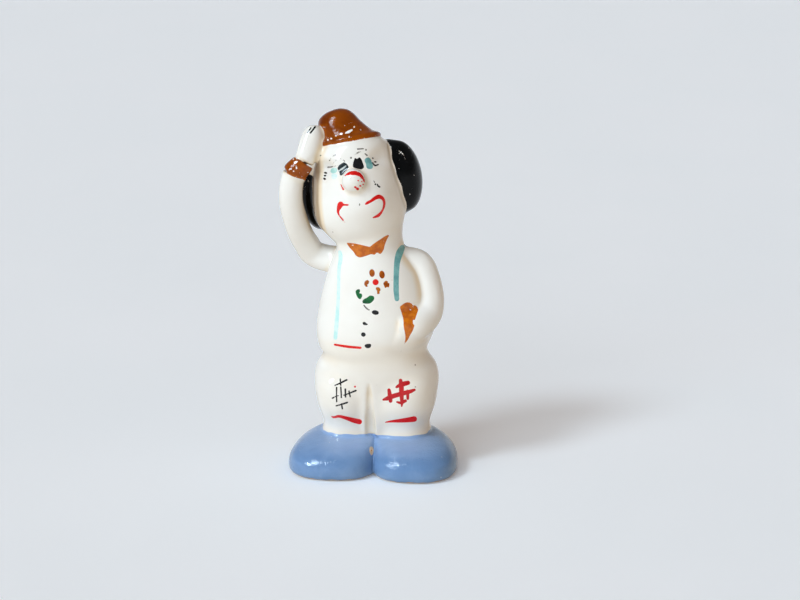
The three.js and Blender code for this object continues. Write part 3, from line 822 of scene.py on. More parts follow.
def colour_glaze(name, thin, thick, edge, edge_width, chip_share, gloss, peel, worn_edge=0.64, foot=False):
    """A coloured glaze that is paler where it is thin, with chips that show the white under it. On the
    shoes the pale edge band is a painted highlight as well, and deep creases get painted shade.
    """
    nodes = Nodes(bpy.data.materials.new(name))
    thin, thick, edge = srgb(*thin), srgb(*thick), srgb(*edge)
    body = nodes.noise(110, 4, 0.6, 0.6)
    tone = nodes.mix(nodes.ramp(body, 0.32, 0.66), thin, thick)
    # Paler near the painted edge: thin glaze, and along the shoes' tops a painted highlight as well.
    tone = nodes.mix(nodes.ramp(nodes.attribute("rim"), 0, edge_width, 0.7, 0), tone, edge)
    # Painted shade: darker in the deepest creases, such as the seam between the shoes.
    deep = tuple(0.35 * v for v in thick[:3]) + (1,)
    tone = nodes.mix(nodes.ramp(nodes.attribute("crease"), 0.6, 1, 0, 0.45), tone, deep)
    flakes = nodes.ramp(nodes.noise(620, 3, 0.65, 0.4), 0.71 - chip_share, 0.74 - chip_share)
    border = nodes.ramp(nodes.attribute("rim"), 0.1, 0.55, 1, 0)
    worn = nodes.ramp(nodes.noise(800, 3, 0.7), worn_edge, worn_edge + 0.04)
    chips = nodes.math("MAXIMUM", flakes, nodes.math("MULTIPLY", border, worn))
    tone = nodes.mix(chips, tone, IVORY)
    if foot:
        height = nodes.make("ShaderNodeSeparateXYZ", {"Vector": nodes.place}).outputs["Z"]
        ragged = nodes.math("ADD", height, nodes.ramp(nodes.noise(300, 2), 0, 1, 0, 0.0009))
        tone = nodes.mix(nodes.ramp(ragged, 0.0008, 0.0012, 1, 0), tone, BISQUE)
    glaze_relief(nodes, peel, 0.3, chips)
    nodes.shade("Specular IOR Level", gloss)
    return nodes.finish(tone, nodes.ramp(nodes.noise(420, 2), 0.3, 0.7, 0.06, 0.14))


def enamel(name, colour, shade, cover):
    """Brushed enamel: a little uneven, and rubbed through in spots."""
    nodes = Nodes(bpy.data.materials.new(name))
    tone = nodes.mix(nodes.ramp(nodes.noise(500, 3, 0.6), 0.35, 0.65), srgb(*colour), srgb(*shade))
    rubbed = nodes.ramp(nodes.noise(1300, 3, 0.7), cover, cover + 0.04)
    tone = nodes.mix(rubbed, tone, IVORY)
    glaze_relief(nodes, 0.00004, 0.4)
    return nodes.finish(tone, nodes.ramp(nodes.noise(900, 2), 0.3, 0.7, 0.1, 0.2))


# Colours where thin, where thick and at the edge, width of the edge, share of chips, gloss and orange peel
GLAZES = {
    "brown_glaze": ((146, 70, 0), (112, 47, 0), (170, 86, 6), 1.6, 0.01, 0.22, 0.00008),
    "cuff_glaze": ((172, 88, 6), (142, 66, 0), (184, 100, 16), 1, 0.03, 0.3, 0.00008),
    "black_glaze": ((14, 15, 16), (5, 6, 6), (30, 30, 30), 0.6, 0.01, 0.16, 0.00005),
    # The shoes' pale edge band along their tops is thin glaze and a painted highlight.
    "blue_glaze": ((117, 151, 197), (104, 140, 188), (160, 189, 232), 4.8, 0, 0.5, 0.00012, 0.8, True),
}
materials = {"porcelain": porcelain()}
for name, look in GLAZES.items():
    materials[name] = colour_glaze(name, *look)

start = np.hstack([points, normals, crease[:, None], np.full((len(points), 1), float(RIM_DEPTH))])
whole = Surface(start, faces)
surface_points, surface_faces, surface_normals = points, faces, normals


def hem_line(points):
    """Height above the line where the shoes' blue meets the trousers."""
    return points[:, 2] - BLUE_TOP + wobble(points, 0.25)


SLOTS = {
    "hat": "brown_glaze",
    "right_hair": "black_glaze",
    "left_hair": "black_glaze",
    "raised_cuff": "brown_glaze",
    "right_shoe": "blue_glaze",
    "left_shoe": "blue_glaze",
}
ORDER = ["hat", "right_hair", "left_hair", "nose", "raised_cuff", "raised_hand", "raised_sleeve"]
ORDER += ["pocket_arm", "head", "torso"]
# How far, and how fast, the painted edges wander.
PAINTED = {"hat": (0.15, 1), "right_hair": (0.7, 0.45), "left_hair": (0.7, 0.45), "raised_cuff": (0.3, 0.8)}


def parted(surface, field):
    """Parts a surface and keeps how deep inside the painted edge each point of the first half lies."""
    surface.values[:, 7] = np.clip(-field, 0, RIM_DEPTH)
    inside, outside = surface.part(field)
    outside.values[:, 7] = RIM_DEPTH
    return inside, outside


def above_black(points):
    """Height above the line behind the cuff where the right tuft's black stops. It rises at the back."""
    x, y, z = points.T
    slope = TUFT_BLACK_SLOPE * (x - TUFT_BLACK_X)
    rise = TUFT_BACK_SLOPE * np.maximum(y - TUFT_BACK_Y, 0)
    return z - TUFT_BLACK_Z + slope - rise + wobble(points, 0.5)


shoes, rest = parted(whole, hem_line(whole.points))
right, left = shoes.part(shoes.points[:, 0] - SHOE_SEAM)
shares = {"right_shoe": right, "left_shoe": left}
for place, name in enumerate(ORDER):
    others = ORDER[place + 1:] + ["trousers"]
    field = sample(sets[name], rest.points) - np.min([sample(sets[o], rest.points) for o in others], axis=0)
    field = field + wobble(rest.points, *PAINTED.get(name, (0, 1)))
    if name == "right_hair":
        field = np.maximum(field - TUFT_BLACK_SPREAD, above_black(rest.points))
    shares[name], rest = parted(rest, field)
shares["trousers"] = rest

for node, surface in shares.items():
    slot = SLOTS.get(node, "porcelain")
    casting(node, surface, materials["cuff_glaze" if node == "raised_cuff" else slot])


# Camera

azimuth, elevation = math.radians(VIEW_AZIMUTH), math.radians(VIEW_ELEVATION)
toward = np.array([
    math.sin(azimuth) * math.cos(elevation),
    -math.cos(azimuth) * math.cos(elevation),
    math.sin(elevation),
])
eye = VIEW_TARGET + VIEW_DISTANCE * toward
view_right = np.array([math.cos(azimuth), math.sin(azimuth), 0])
view_up = np.cross(toward, view_right)
FOCAL = LENS / SENSOR * IMAGE_WIDTH

camera_data = bpy.data.cameras.new("camera")
camera_data.lens = LENS
camera_data.sensor_width = SENSOR
camera_data.clip_start = 0.01
camera = bpy.data.objects.new("camera", camera_data)
bpy.context.scene.collection.objects.link(camera)
turn = Matrix([list(view_right), list(view_up), list(toward)]).transposed()
camera.matrix_world = Matrix.Translation(Vector((eye + BODY) / 1000)) @ turn.to_4x4()
bpy.context.scene.camera = camera


# Painted details

tree = BVHTree.FromPolygons(surface_points.tolist(), surface_faces.tolist())


def front_ray(x, y):
    """The ray through a point of the photograph."""
    direction = view_right * (x - IMAGE_WIDTH / 2) + view_up * (IMAGE_HEIGHT / 2 - y) - toward * FOCAL
    return eye, unit(direction)


def settle(origin, direction):
    """Where a ray meets the surface, and the smooth normal there."""
    place, _, index, _ = tree.ray_cast(Vector(origin), Vector(direction))
    if place is None:
        return None
    corners = surface_faces[index]
    a, b, c = surface_points[corners]
    p = np.array(place)
    areas = [np.linalg.norm(np.cross(q - p, r - p)) for q, r in ((b, c), (c, a), (a, b))]
    normal = np.array(areas) @ surface_normals[corners]
    return p, unit(normal)


OUTLINE_SPACING = 0.5
STROKE_STEPS, PATCH_STEPS, DOT_CORNERS = 12, 10, 16
THINNEST_STROKE = 0.4


def stroke(*points):
    """The outline of a brush stroke along a few points (x, y, width)."""
    line = resample(catmull(points, STROKE_STEPS), OUTLINE_SPACING)
    path, half = line[:, :2], np.maximum(line[:, 2:], THINNEST_STROKE) / 2
    tangent = unit(np.gradient(path, axis=0))
    across = np.stack([-tangent[:, 1], tangent[:, 0]], 1)
    turn = np.linspace(0, math.pi, 7)[1:-1, None]
    far = path[-1] + half[-1] * (np.cos(turn) * across[-1] + np.sin(turn) * tangent[-1])
    near = path[0] + half[0] * (-np.cos(turn) * across[0] - np.sin(turn) * tangent[0])
    return np.vstack([path + half * across, far, (path - half * across)[::-1], near])


def patch(*points):
    """The outline of a filled brush mark round a few points."""
    ring = np.asarray(points, float)
    around = catmull(np.vstack([ring[-2:], ring, ring[:2]]), PATCH_STEPS)
    return resample(around[2 * PATCH_STEPS:-PATCH_STEPS], OUTLINE_SPACING)[:-1]


def dot(x, y, width, height=None, slant=0):
    """The outline of an oval mark, slanted by some degrees."""
    angle = np.linspace(0, 2 * math.pi, DOT_CORNERS, endpoint=False)
    c, s = math.cos(math.radians(slant)), math.sin(math.radians(slant))
    u, v = width / 2 * np.cos(angle), (height or width) / 2 * np.sin(angle)
    return np.stack([x + c * u - s * v, y + s * u + c * v], 1)


def dots(*marks):
    return [dot(*mark) for mark in marks]


FILL_SPACING = 0.8
LIFT, SINK = 0.04, 0.12  # millimetres that a coat of enamel stands above the glaze, and reaches into it


def coat(outline, ray, lift):
    """A closed lens of enamel inside an outline: points, faces and normals for each corner."""
    low, high = outline.min(0), outline.max(0)
    spans = [np.arange(low[k], high[k], FILL_SPACING) for k in range(2)]
    grid = np.stack(np.meshgrid(*spans), -1).reshape(-1, 2)
    a, b = outline, np.roll(outline, -1, axis=0)

    def edge_distance(at):
        ab = b - a
        share = ((at[:, None] - a) * ab).sum(2) / np.maximum((ab**2).sum(1), 1e-12)
        nearest = a + np.clip(share, 0, 1)[..., None] * ab
        return np.linalg.norm(at[:, None] - nearest, axis=2).min(1)

    grid = grid[edge_distance(grid) > 0.55 * FILL_SPACING]
    flat = [Vector(p) for p in np.vstack([outline, grid])]
    ring = list(range(len(outline)))
    made, _, faces, *_ = delaunay_2d_cdt(flat, [], [ring], 1, 1e-5)
    flat = np.array([tuple(v) for v in made])
    hits = [settle(*ray(x, y)) for x, y in flat]
    faces = np.array([f for f in faces if all(hits[i] is not None for i in f)])
    place = np.array([h[0] if h else (0, 0, 0) for h in hits])
    normal = np.array([h[1] if h else (0, 0, 1) for h in hits])
    x0, x1, x2 = (place[faces[:, k]] for k in range(3))
    facing = np.einsum("ij,ij->i", np.cross(x1 - x0, x2 - x0), normal[faces[:, 0]]) < 0
    faces[facing] = faces[facing][:, ::-1]
    border = edge_distance(flat) < 1e-3
    top = place + normal * np.where(border, 0, lift)[:, None]
    bottom = place - normal * SINK
    index = np.arange(len(flat))
    under = np.where(border, index, index + len(flat))
    points = np.vstack([top, bottom])
    both = np.vstack([faces, under[faces][:, ::-1]])
    loop_normals = np.vstack([normal[faces].reshape(-1, 3), -normal[faces][:, ::-1].reshape(-1, 3)])
    used, back = np.unique(both, return_inverse=True)
    return points[used], back.reshape(-1, 3), loop_normals


# Colour, second colour, and how well the enamel covers
ENAMELS = {
    "black": ((10, 10, 12), (24, 24, 26), 0.84),
    "grey": ((84, 80, 76), (140, 134, 128), 0.8),
    "red": ((218, 8, 6), (228, 26, 16), 0.73),
    "crimson": ((186, 4, 14), (200, 14, 22), 0.78),
    "brown": ((212, 118, 12), (182, 86, 2), 0.72),
    "teal": ((104, 164, 168), (128, 186, 188), 0.76),
    "aqua": ((192, 240, 240), (220, 247, 246), 0.7),
    "orange": ((184, 96, 6), (146, 64, 0), 0.76),
    "green": ((22, 108, 56), (16, 78, 44), 0.78),
    "chalk": ((222, 228, 226), (190, 204, 204), 0.9),
    "slate": ((24, 34, 38), (42, 54, 58), 0.8),
    "tear": ((168, 218, 212), (200, 232, 228), 0.66),
    "wash": ((208, 238, 238), (230, 242, 241), 0.62),
    "white": ((252, 250, 245), (248, 244, 236), 0.9),
    "bare": ((226, 202, 168), (212, 180, 140), 0.9),
}
enamels = {name: enamel(name + "_enamel", *look) for name, look in ENAMELS.items()}


def painted(name, outlines, colour=None, ray=front_ray, layer=1):
    """One piece of enamel: a coat inside each outline, in the colour of that name or in another one."""
    points, faces, normals, count = [], [], [], 0
    for outline in outlines:
        p, f, n = coat(outline, ray, LIFT * layer)
        points.append(p)
        faces.append(f + count)
        normals.append(n)
        count += len(p)
    material = enamels[colour or name]
    piece = mesh_object("paint_" + name, np.vstack(points), np.vstack(faces), np.vstack(normals), material)
    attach(piece, "root")


# The marks are placed in the photograph's frame, and lie where their rays meet the glaze.
# Left and right are the clown's own.

FINGER_LINES = [
    stroke((310.9, 127.9, 1.4), (307.5, 133, 1.4)),
    stroke((315.2, 126.8, 2), (310.6, 132.8, 1.8)),
]
LEFT_EYE = [patch((355, 158), (357, 158.8), (359.5, 157.4), (361.5, 159.5), (363, 163.5), (364, 167),
    (361.5, 169.3), (357, 168.6), (353.2, 167.2), (353, 164), (353.8, 160.5))]
LEFT_LASHES = [
    stroke((370, 159.4, 0.8), (372.4, 162.4, 1.1), (374.8, 165.3, 1.6), (378.3, 164.6, 1.2)),
    *dots((372.8, 158.2, 2, 1.4, 30), (375.4, 161.9, 2.8, 1.5, 15)),
]
RIGHT_LASHES = dots((325.6, 172.8, 3.4, 2, 18), (325, 175.6, 2.4, 1.9), (324.6, 178.8, 3.2, 2.1, 22))
CHEEK_MARK = [
    dot(375.4, 184.3, 2, 1.8),
    stroke((377.4, 184.4, 1.3), (378, 186, 1.6), (379.5, 186.9, 1.8)),
]
BUTTONS = [
    dot(375.3, 312.5, 7.2, 4.6, 10),
    patch((362.6, 322.6), (364.6, 321.9), (366.4, 323.2), (368.2, 324.4), (366, 325.2), (363.4, 324.8)),
    dot(363.3, 334.5, 4.8, 4.4, 20),
    patch((364.6, 345.2), (367, 344), (370.6, 344), (371, 346.4), (369.4, 348), (366, 347.8)),
]
RIGHT_KNEE = [
    stroke((336.6, 387.6, 1.6), (336.5, 394, 1.2), (336.7, 401.6, 1.5)),
    stroke((340.3, 379.2, 1.6), (341.1, 392, 1.5), (341.6, 403, 1.4), (342.3, 408.6, 1.7)),
    stroke((335, 385.3, 1.3), (340, 383.2, 1.6), (346.6, 379.9, 2)),
    stroke((332.4, 398.2, 1.6), (336, 396.4, 1.2), (342, 394.6, 1)),
    stroke((336.2, 405.8, 1.4), (341, 404.5, 1.5), (347.2, 402.5, 1.9)),
    stroke((345.3, 389.2, 1.8), (345.5, 397, 1.6)),
    stroke((344, 395.2, 1.3), (349, 393.4, 1.5), (355.8, 390.6, 1.9)),
    stroke((349, 391.2, 1.6), (350.2, 396.6, 1.5)),
]
FAINT_FINGER_LINE = [stroke((306.6, 130.4, 0.8), (304.9, 133.8, 0.8))]
BROW = [
    stroke((356, 149.2, 1.4), (363.2, 148.7, 1.3)),
    dot(366, 149.8, 1.9),
]
LEFT_LID = [
    stroke((355.2, 154.4, 0.8), (357.4, 152.9, 1.4), (360.6, 151.8, 1), (364, 153, 0.9),
        (367, 155.3, 1.6)),
    dot(351, 157.8, 2.1),
]
RIGHT_LID = [
    stroke((329.6, 160.4, 1.4), (331.2, 157.8, 0.8), (334, 155.6, 1), (336, 154.8, 1.3)),
    stroke((332.6, 164.4, 0.6), (335, 161.2, 0.7), (338.4, 159.2, 0.9), (341.8, 159.4, 1),
        (344.6, 161.2, 1)),
    stroke((328, 167.3, 1.7), (331.4, 166.9, 1.3), (337, 165.6, 0.6)),
]
CHEEK_LINE = [stroke((373.4, 180.2, 0.9), (374.6, 182.2, 1.2))]
FACE_SPECKS = dots((359.6, 204.6, 1.3, 2.4), (372.2, 212.4, 2, 1.2), (320.6, 155.5, 1.6))
STEM = [stroke((363, 303, 1.1), (364.6, 306.2, 1.3), (367.4, 309, 1.4), (370.4, 310.6, 1.1))]
RIGHT_EYE = [patch((337.6, 168), (339, 165.4), (341.5, 163.6), (344, 162.4), (347, 164.2),
    (348.5, 167.8), (345.5, 171.4), (342, 175.2), (340, 175), (339.4, 172.6), (338, 169.8))]
TEAR_WASH = [patch((331.6, 174.4), (334, 173.6), (336.6, 174.4), (337, 177), (334.8, 179.2),
    (332, 178.4))]
EYE_SHADE = [patch((365, 159), (368, 157.4), (370.5, 159), (372, 162.5), (373, 166), (372, 168.5),
    (369, 169), (366.6, 167.5), (366, 164), (364.8, 161.4))]
LEFT_BRACE = [stroke((402.4, 247.4, 5.4), (399.6, 253, 7), (397.2, 262, 6), (396.3, 275, 5.4),
    (396.2, 290, 5.4), (396.9, 299, 4.6))]
TEAR = [patch((330.4, 171.4), (331.4, 168.8), (334, 167.6), (336.8, 168.4), (337, 171), (335, 173),
    (332, 173.4))]
RIGHT_BRACE = [stroke((339.8, 252, 3.4), (340.6, 258, 4), (339, 270, 3.2), (338.6, 290, 3),
    (337.6, 310, 3.4), (336.4, 326, 4), (335.4, 338, 3.6))]
NOSE_RED = [
    stroke((343.8, 176.6, 0.6), (346.6, 174.6, 1.8), (350, 173.4, 3.6), (354, 173, 4.2),
        (358, 173.8, 4), (361.3, 176.2, 3.2), (363.5, 179.4, 2.4), (364.7, 182.6, 1.2)),
    stroke((340.8, 184.4, 0.7), (342, 187, 1.2), (343.3, 189.4, 1.8)),
]
# What is left of the rubbed red on the side of the nose
NOSE_SPECK_PLACES = [
    (355.3, 187.2, 2.2), (357.4, 188.8, 3), (360.3, 185.9, 1.8), (363.2, 184.4, 1.5),
    (358.2, 180.6, 1.4), (360.6, 178.6, 1.2), (355.8, 181, 1), (361.8, 181.6, 1.3), (364.2, 181.4, 1.2),
    (359, 183.4, 1), (353.2, 185.4, 0.9), (362, 187.6, 1.1), (357, 176.6, 1), (353.6, 177.4, 0.9),
    (356.4, 184, 0.8),
]
NOSE_SPECKS = [dot(x, y, 1.25 * size, size, 15) for x, y, size in NOSE_SPECK_PLACES]
MOUTH = [
    patch((339.5, 201.7), (342, 201.8), (344, 203.8), (348.2, 204.2), (348, 205.8), (343.6, 205.9),
        (341.6, 208), (339.4, 211.4), (339.8, 215), (342.6, 218.4), (345.8, 222.8), (343.2, 221.2),
        (339.4, 216.8), (337, 212.6), (336.8, 208), (337.6, 204)),
    stroke((365.8, 204, 1.8), (367.6, 202.8, 2.8), (371, 201, 2.8), (375, 198.2, 3.6),
        (379, 196.7, 4.4), (382.5, 198.4, 3.4), (384.2, 202, 2.6), (383.9, 206.5, 2.3),
        (382.3, 210.6, 2.1), (380, 213.8, 2.8), (377.4, 216, 3), (373.3, 217.6, 1.4)),
]
FLOWER_MIDDLE = [dot(375.6, 282.2, 6.2, 6.2)]
SHIRT_EDGE = [stroke((334.8, 344.6, 2), (347, 346.6, 2.6), (360.4, 347.8, 2.4))]
KNEE_SPOT = [dot(355, 386.7, 2)]
TROUSER_EDGES = [
    stroke((330.6, 416, 0.6), (334, 417.2, 2.2), (339, 416.3, 2.8), (346, 418, 3.6), (353, 420.2, 4.8),
        (359.4, 421.8, 5.3)),
    stroke((385.4, 422.2, 1.2), (392, 421.3, 2.4), (400, 420.7, 3.8), (408, 419.9, 4.9),
        (414.2, 419, 5.8)),
]
LEFT_KNEE = [
    stroke((383.4, 399.7, 2.2), (388, 398.2, 4.6), (393, 396.2, 4.8), (400, 394.2, 4.6),
        (406, 392.6, 4.4), (411, 391.2, 3.8), (414.4, 389.9, 2.6)),
    stroke((389, 390, 3.4), (389.8, 395, 4.4), (390.6, 401, 3.8)),
    stroke((400.6, 380.4, 3.6), (401.3, 386, 5), (401.6, 395, 4.4), (402, 402, 3.4),
        (401.7, 406.2, 1.6)),
    stroke((407.6, 391.4, 3.6), (407.8, 398.6, 2.8)),
    stroke((396.6, 387, 2.6), (400, 385.2, 4.2), (404, 383.8, 5), (408, 382.8, 4.4)),
    stroke((397, 402, 1.8), (401, 402.8, 3.2), (405.4, 400.8, 3.2)),
]
BOW = [patch((346.8, 243.2), (349.5, 242.9), (355, 243.5), (362, 245), (367.5, 246.3), (370, 246.6),
    (374, 243.5), (380, 239.5), (386, 235.6), (389, 235.3), (387, 239.5), (384.8, 245), (383.5, 250),
    (380.5, 253.8), (377, 252.6), (374.5, 254.6), (371, 254.2), (366, 256), (360, 257.4), (356, 255.6),
    (353.6, 252), (349.6, 247.6))]
POCKET_EDGE = [patch((400, 307.3), (402, 305), (405, 303), (408, 302.3), (411.5, 303.5), (413, 305.5),
    (415, 305.3), (417.5, 307.5), (418, 310.5), (416.5, 315), (415, 319.6), (413.2, 320), (413, 323.5),
    (414.3, 325.5), (413, 330), (410, 335.5), (407.5, 340.3), (404.3, 343.8), (405.2, 340),
    (405.2, 335), (403.8, 327), (403.2, 319), (401.5, 312.5))]
PETALS = [
    *dots((372, 273, 5.6, 7.8, -6), (382, 274.6, 5.6, 8, -8)),
    patch((367.4, 280), (369.1, 281.4), (368.5, 283.6), (367.2, 285), (368, 286.4), (366, 286.8),
        (364.3, 284.5), (364.8, 281.6)),
    patch((385.4, 281), (387.4, 281.1), (388, 282.8), (389.4, 283.6), (388.8, 287.4), (387, 287),
        (385.4, 288), (384, 285.6), (383.4, 283.2)),
    patch((376.2, 287.5), (379, 287.3), (380.6, 289.8), (379.5, 291.6), (379.6, 293.6), (377.4, 294),
        (377, 291.2), (375.9, 289)),
]
LEAVES = [
    patch((357, 289.6), (359.5, 289.3), (360, 291.4), (359.4, 293.2), (361.5, 293.8), (362.2, 296),
        (360.5, 299), (358.4, 298.4), (356.4, 295), (355.6, 291.6)),
    patch((367, 297.6), (370, 295.6), (373.6, 296.4), (374, 299.5), (371, 302.8), (368, 303.7),
        (363.6, 303.3), (362.4, 301.3), (364, 299.2)),
]
EYE_LIGHT = [stroke((338.8, 171, 1.8), (342.4, 168.8, 2.6), (346, 165.8, 1.8))]
# White marks on the pocket edge, the bow and the left brace: chips, and painted highlights such as the
# glint on the bow's left wing.
ENAMEL_CHIPS_AND_GLINTS = dots((410.3, 309.8, 2.6, 1.8, 30), (413.3, 316.4, 1.1, 3.2), (412.8, 306.8, 1.3, 1.8),
    (406.3, 323.3, 1, 1.6), (371.6, 253.2, 1.4, 1.1), (375.2, 252.2, 1.2, 1.6), (409.2, 305.4, 1.4, 1),
    (403.8, 308.2, 1, 1.4), (353, 245.4, 3.4, 1.5, 25), (400.4, 262, 1, 2.4), (399.6, 269, 0.9, 1.6),
    (394.2, 288, 0.9, 2), (397.4, 292.6, 1.2, 1))
# Painted highlights: white glints along the hat's brim and crown, where the window shines in the glaze.
HAT_GLINTS = [
    stroke((345.8, 133, 1.4), (348.6, 131.8, 2.6), (351.8, 130, 1.8)),
    *dots((341.3, 133.8, 2.8, 2.2, -20), (354.2, 126.9, 1.5, 2, 20), (349.2, 136.8, 1.4, 1.8, 20),
        (331.2, 138.6, 2, 1.7), (327.9, 139.9, 1.8), (335.9, 135.8, 1.4), (361.3, 128.6, 1.1, 1.4),
        (335.4, 112.2, 1.2), (350.9, 122.4, 1)),
]
CUFF_CHIPS = [
    patch((294.2, 161.6), (296.6, 160.8), (298.4, 160.2), (297.2, 162.4), (295.6, 163.8), (294, 163.4)),
    stroke((296.2, 165.2, 1), (296.5, 168.4, 1.5)),
    *dots((297, 158, 2.2, 2.6, 20), (293.4, 159, 1.6, 1.8), (291, 168.8, 2, 1.4, 40),
        (293.6, 171.2, 1.6, 1.2, 40), (299.6, 172.4, 1, 1.6), (301.8, 176, 0.9, 1.3)),
]
# White flecks on the left tuft: chips, and a painted highlight in the cluster at its top.
LEFT_HAIR_CHIPS_AND_GLINTS = [
    *dots((399.4, 151, 1.4, 1.1), (400.9, 152.3, 1.2, 1.8, 20), (402.5, 153.7, 1.6, 1.2, 40),
        (403.5, 155.6, 1, 1.7), (401.2, 154.7, 1.2, 1), (399.3, 153.4, 0.9, 1.2),
        (404.3, 157.2, 0.8, 1), (398.4, 147.8, 1.4, 1, 20), (396.7, 151.1, 1, 1.3),
        (405.4, 158.8, 1.5, 1)),
    stroke((399.4, 160, 0.7), (399.2, 162.6, 0.7)),
    *dots((399, 168.4, 1.4, 0.8, 50), (412.5, 188.7, 1.1)),
]
# Painted reflections: pale streaks on the right tuft beside the arm.
RIGHT_HAIR_GLINTS = [
    stroke((306.9, 178.6, 0.8), (308.7, 181.8, 1)),
    stroke((303.7, 189.1, 0.7), (305.1, 186.9, 0.9)),
]
BARE_SPOT = [patch((370, 447), (372.4, 446.8), (373.6, 449.6), (373, 453.4), (371.4, 455.4),
    (369.8, 452.6), (369.4, 449.4))]
BARE_SPECK = [dot(371.4, 450.4, 1.8, 2.4)]

painted("black", FINGER_LINES + LEFT_EYE + LEFT_LASHES + RIGHT_LASHES + CHEEK_MARK + BUTTONS + RIGHT_KNEE)
painted("grey", FAINT_FINGER_LINE + BROW + LEFT_LID + RIGHT_LID + CHEEK_LINE + FACE_SPECKS + STEM)
painted("slate", RIGHT_EYE)
painted("wash", TEAR_WASH)
painted("teal", EYE_SHADE + LEFT_BRACE)
painted("tear", TEAR)
painted("aqua", RIGHT_BRACE)
painted("red", NOSE_RED + NOSE_SPECKS + MOUTH + FLOWER_MIDDLE + SHIRT_EDGE + KNEE_SPOT + TROUSER_EDGES)
painted("crimson", LEFT_KNEE)
painted("brown", BOW + POCKET_EDGE)
painted("orange", PETALS)
painted("green", LEAVES)
painted("chalk", EYE_LIGHT, layer=2)
# Chips, and painted highlights.
painted("glints", ENAMEL_CHIPS_AND_GLINTS, "white", layer=2)
# White marks: chips on the cuff and the left tuft, and painted highlights on the hat and both tufts.
painted("chips", HAT_GLINTS + CUFF_CHIPS + LEFT_HAIR_CHIPS_AND_GLINTS + RIGHT_HAIR_GLINTS, "white")
painted("bare", BARE_SPOT)
painted("brown_speck", BARE_SPECK, "brown", layer=2)


# The braces run on over the shoulders and down the back.

BRACE_TOP_Z = 62
SHOULDER_ROUND = 14  # millimetres along a brace for each radian over the shoulder
BACK_UNIT = 1 / 3  # millimetres for each unit of the strokes on the back
SHOULDER_START, BACK_START = 15, 20  # how far from the axis the rays start


def over_shoulder(x, along):
    """The ray onto a brace at x: round the shoulder from the front, then straight down the back."""
    x, along = BACK_UNIT * x, BACK_UNIT * along
    angle = min(along / SHOULDER_ROUND, math.pi)
    out = np.array([0, -math.cos(angle), math.sin(angle)])
    drop = max(along - math.pi * SHOULDER_ROUND, 0)
    reach = lerp(SHOULDER_START, BACK_START, max(0, 2 * angle / math.pi - 1))
    return np.array([x, 0, BRACE_TOP_Z - drop]) + reach * out, -out


TEAL_BACK = [stroke((28.5, 66, 3.2), (29.8, 78, 5.2), (29, 96, 5.8), (25, 132, 5.8), (23, 168, 5.4),
    (23.4, 201, 4.8))]
AQUA_BACK = [stroke((-32, 108, 4), (-29, 132, 4.4), (-25.4, 168, 4), (-24.6, 201, 4.2))]
painted("teal_back", TEAL_BACK, "teal", over_shoulder)
painted("aqua_back", AQUA_BACK, "aqua", over_shoulder)


# Stage and light

FLOOR_PALE, FLOOR_GREY = srgb(246, 249, 253), srgb(243, 247, 251)
FLOOR_WARM, FLOOR_GLOW = srgb(240, 228, 208), srgb(200, 216, 236)
FLOOR_REACH = 40
BACKDROP = srgb(221, 225, 230)
DAYLIGHT = (0.76, 0.9, 1)
ROOM_LIGHT = (1, 0.68, 0.42, 1)


def stage_floor():
    """A matt pale floor. It shows a cool white, and throws a warmer light back at the clown."""
    nodes = Nodes(bpy.data.materials.new("pale_floor"))
    seen = nodes.seen()
    pale = nodes.mix(nodes.ramp(nodes.noise(9, 3), 0.3, 0.7), FLOOR_PALE, FLOOR_GREY)
    nodes.bump((nodes.noise(900, 2), 0.0001, 0.1))
    nodes.shade("Emission Color", FLOOR_GLOW)
    nodes.shade("Emission Strength", nodes.math("MULTIPLY", seen, 0.18))
    tone = nodes.mix(seen, FLOOR_WARM, pale)
    return nodes.finish(tone, nodes.ramp(nodes.noise(40, 2), 0.3, 0.7, 0.75, 0.85))


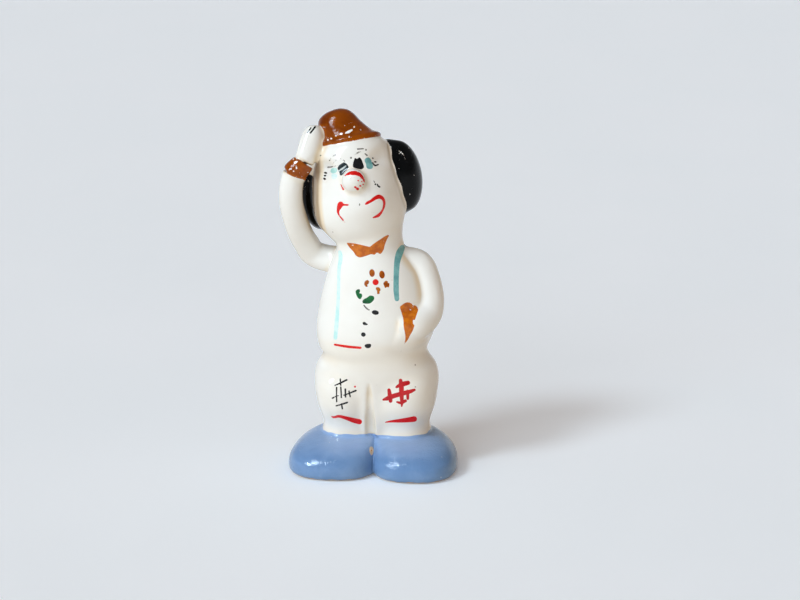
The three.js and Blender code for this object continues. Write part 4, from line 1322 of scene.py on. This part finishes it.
corners = [(-1, -1), (1, -1), (1, 1), (-1, 1)]
floor_mesh = bpy.data.meshes.new("floor")
floor_mesh.from_pydata([(FLOOR_REACH * x, FLOOR_REACH * y, 0) for x, y in corners], [], [(0, 1, 2, 3)])
floor_mesh.materials.append(stage_floor())
floor = bpy.data.objects.new("floor", floor_mesh)
bpy.context.scene.collection.objects.link(floor)


def lamp(name, azimuth, elevation, spread, power, colour, in_gloss=True, in_body=True):
    """A far soft light; spread is how wide it looks from the clown, in degrees."""
    a, e = math.radians(azimuth), math.radians(elevation)
    towards = Vector((math.sin(a) * math.cos(e), -math.cos(a) * math.cos(e), math.sin(e)))
    data = bpy.data.lights.new(name, "SUN")
    data.energy = power
    data.angle = math.radians(spread)
    data.color = colour
    made = bpy.data.objects.new(name, data)
    made.location = towards
    made.rotation_euler = towards.to_track_quat("Z", "Y").to_euler()
    made.visible_glossy = in_gloss
    made.visible_diffuse = in_body
    bpy.context.scene.collection.objects.link(made)


lamp("window", -52, 46, 14, 1.1, DAYLIGHT)
# The window is tall, so its picture in the glaze is taller than the light that it throws.
lamp("window_low", -52, 34, 14, 1.1, DAYLIGHT, in_body=False)
lamp("window_high", -52, 58, 14, 1.1, DAYLIGHT, in_body=False)
lamp("glint", -52, 46, 2.5, 0.3, DAYLIGHT, in_body=False)
lamp("front", -24, 10, 50, 2.1, DAYLIGHT, in_gloss=False)
lamp("top", -30, 74, 50, 0.5, DAYLIGHT, in_gloss=False)


def studio():
    """A dim warm room. Past the floor's end the camera, and the glaze, see a pale backdrop."""
    nodes = Nodes(bpy.data.worlds.new("studio"), "Background")
    height = nodes.make("ShaderNodeSeparateXYZ", {"Vector": nodes.coordinates["Generated"]}).outputs["Z"]
    nodes.shade("Color", ROOM_LIGHT)
    nodes.shade("Strength", nodes.ramp(height, 0.1, 0.6, 0.38, 0.25))
    pale = {"Color": BACKDROP, "Strength": nodes.ramp(height, 0.05, 0.4, 1, 0.2)}
    backdrop = nodes.make("ShaderNodeBackground", pale)
    shaders = {0: nodes.seen(), 1: nodes.shader.outputs[0], 2: backdrop.outputs[0]}
    choice = nodes.make("ShaderNodeMixShader", shaders)
    nodes.put(nodes.tree.nodes["World Output"].inputs["Surface"], choice.outputs[0])
    return nodes.owner


bpy.context.scene.world = studio()
bpy.context.scene.view_settings.view_transform = "Standard"
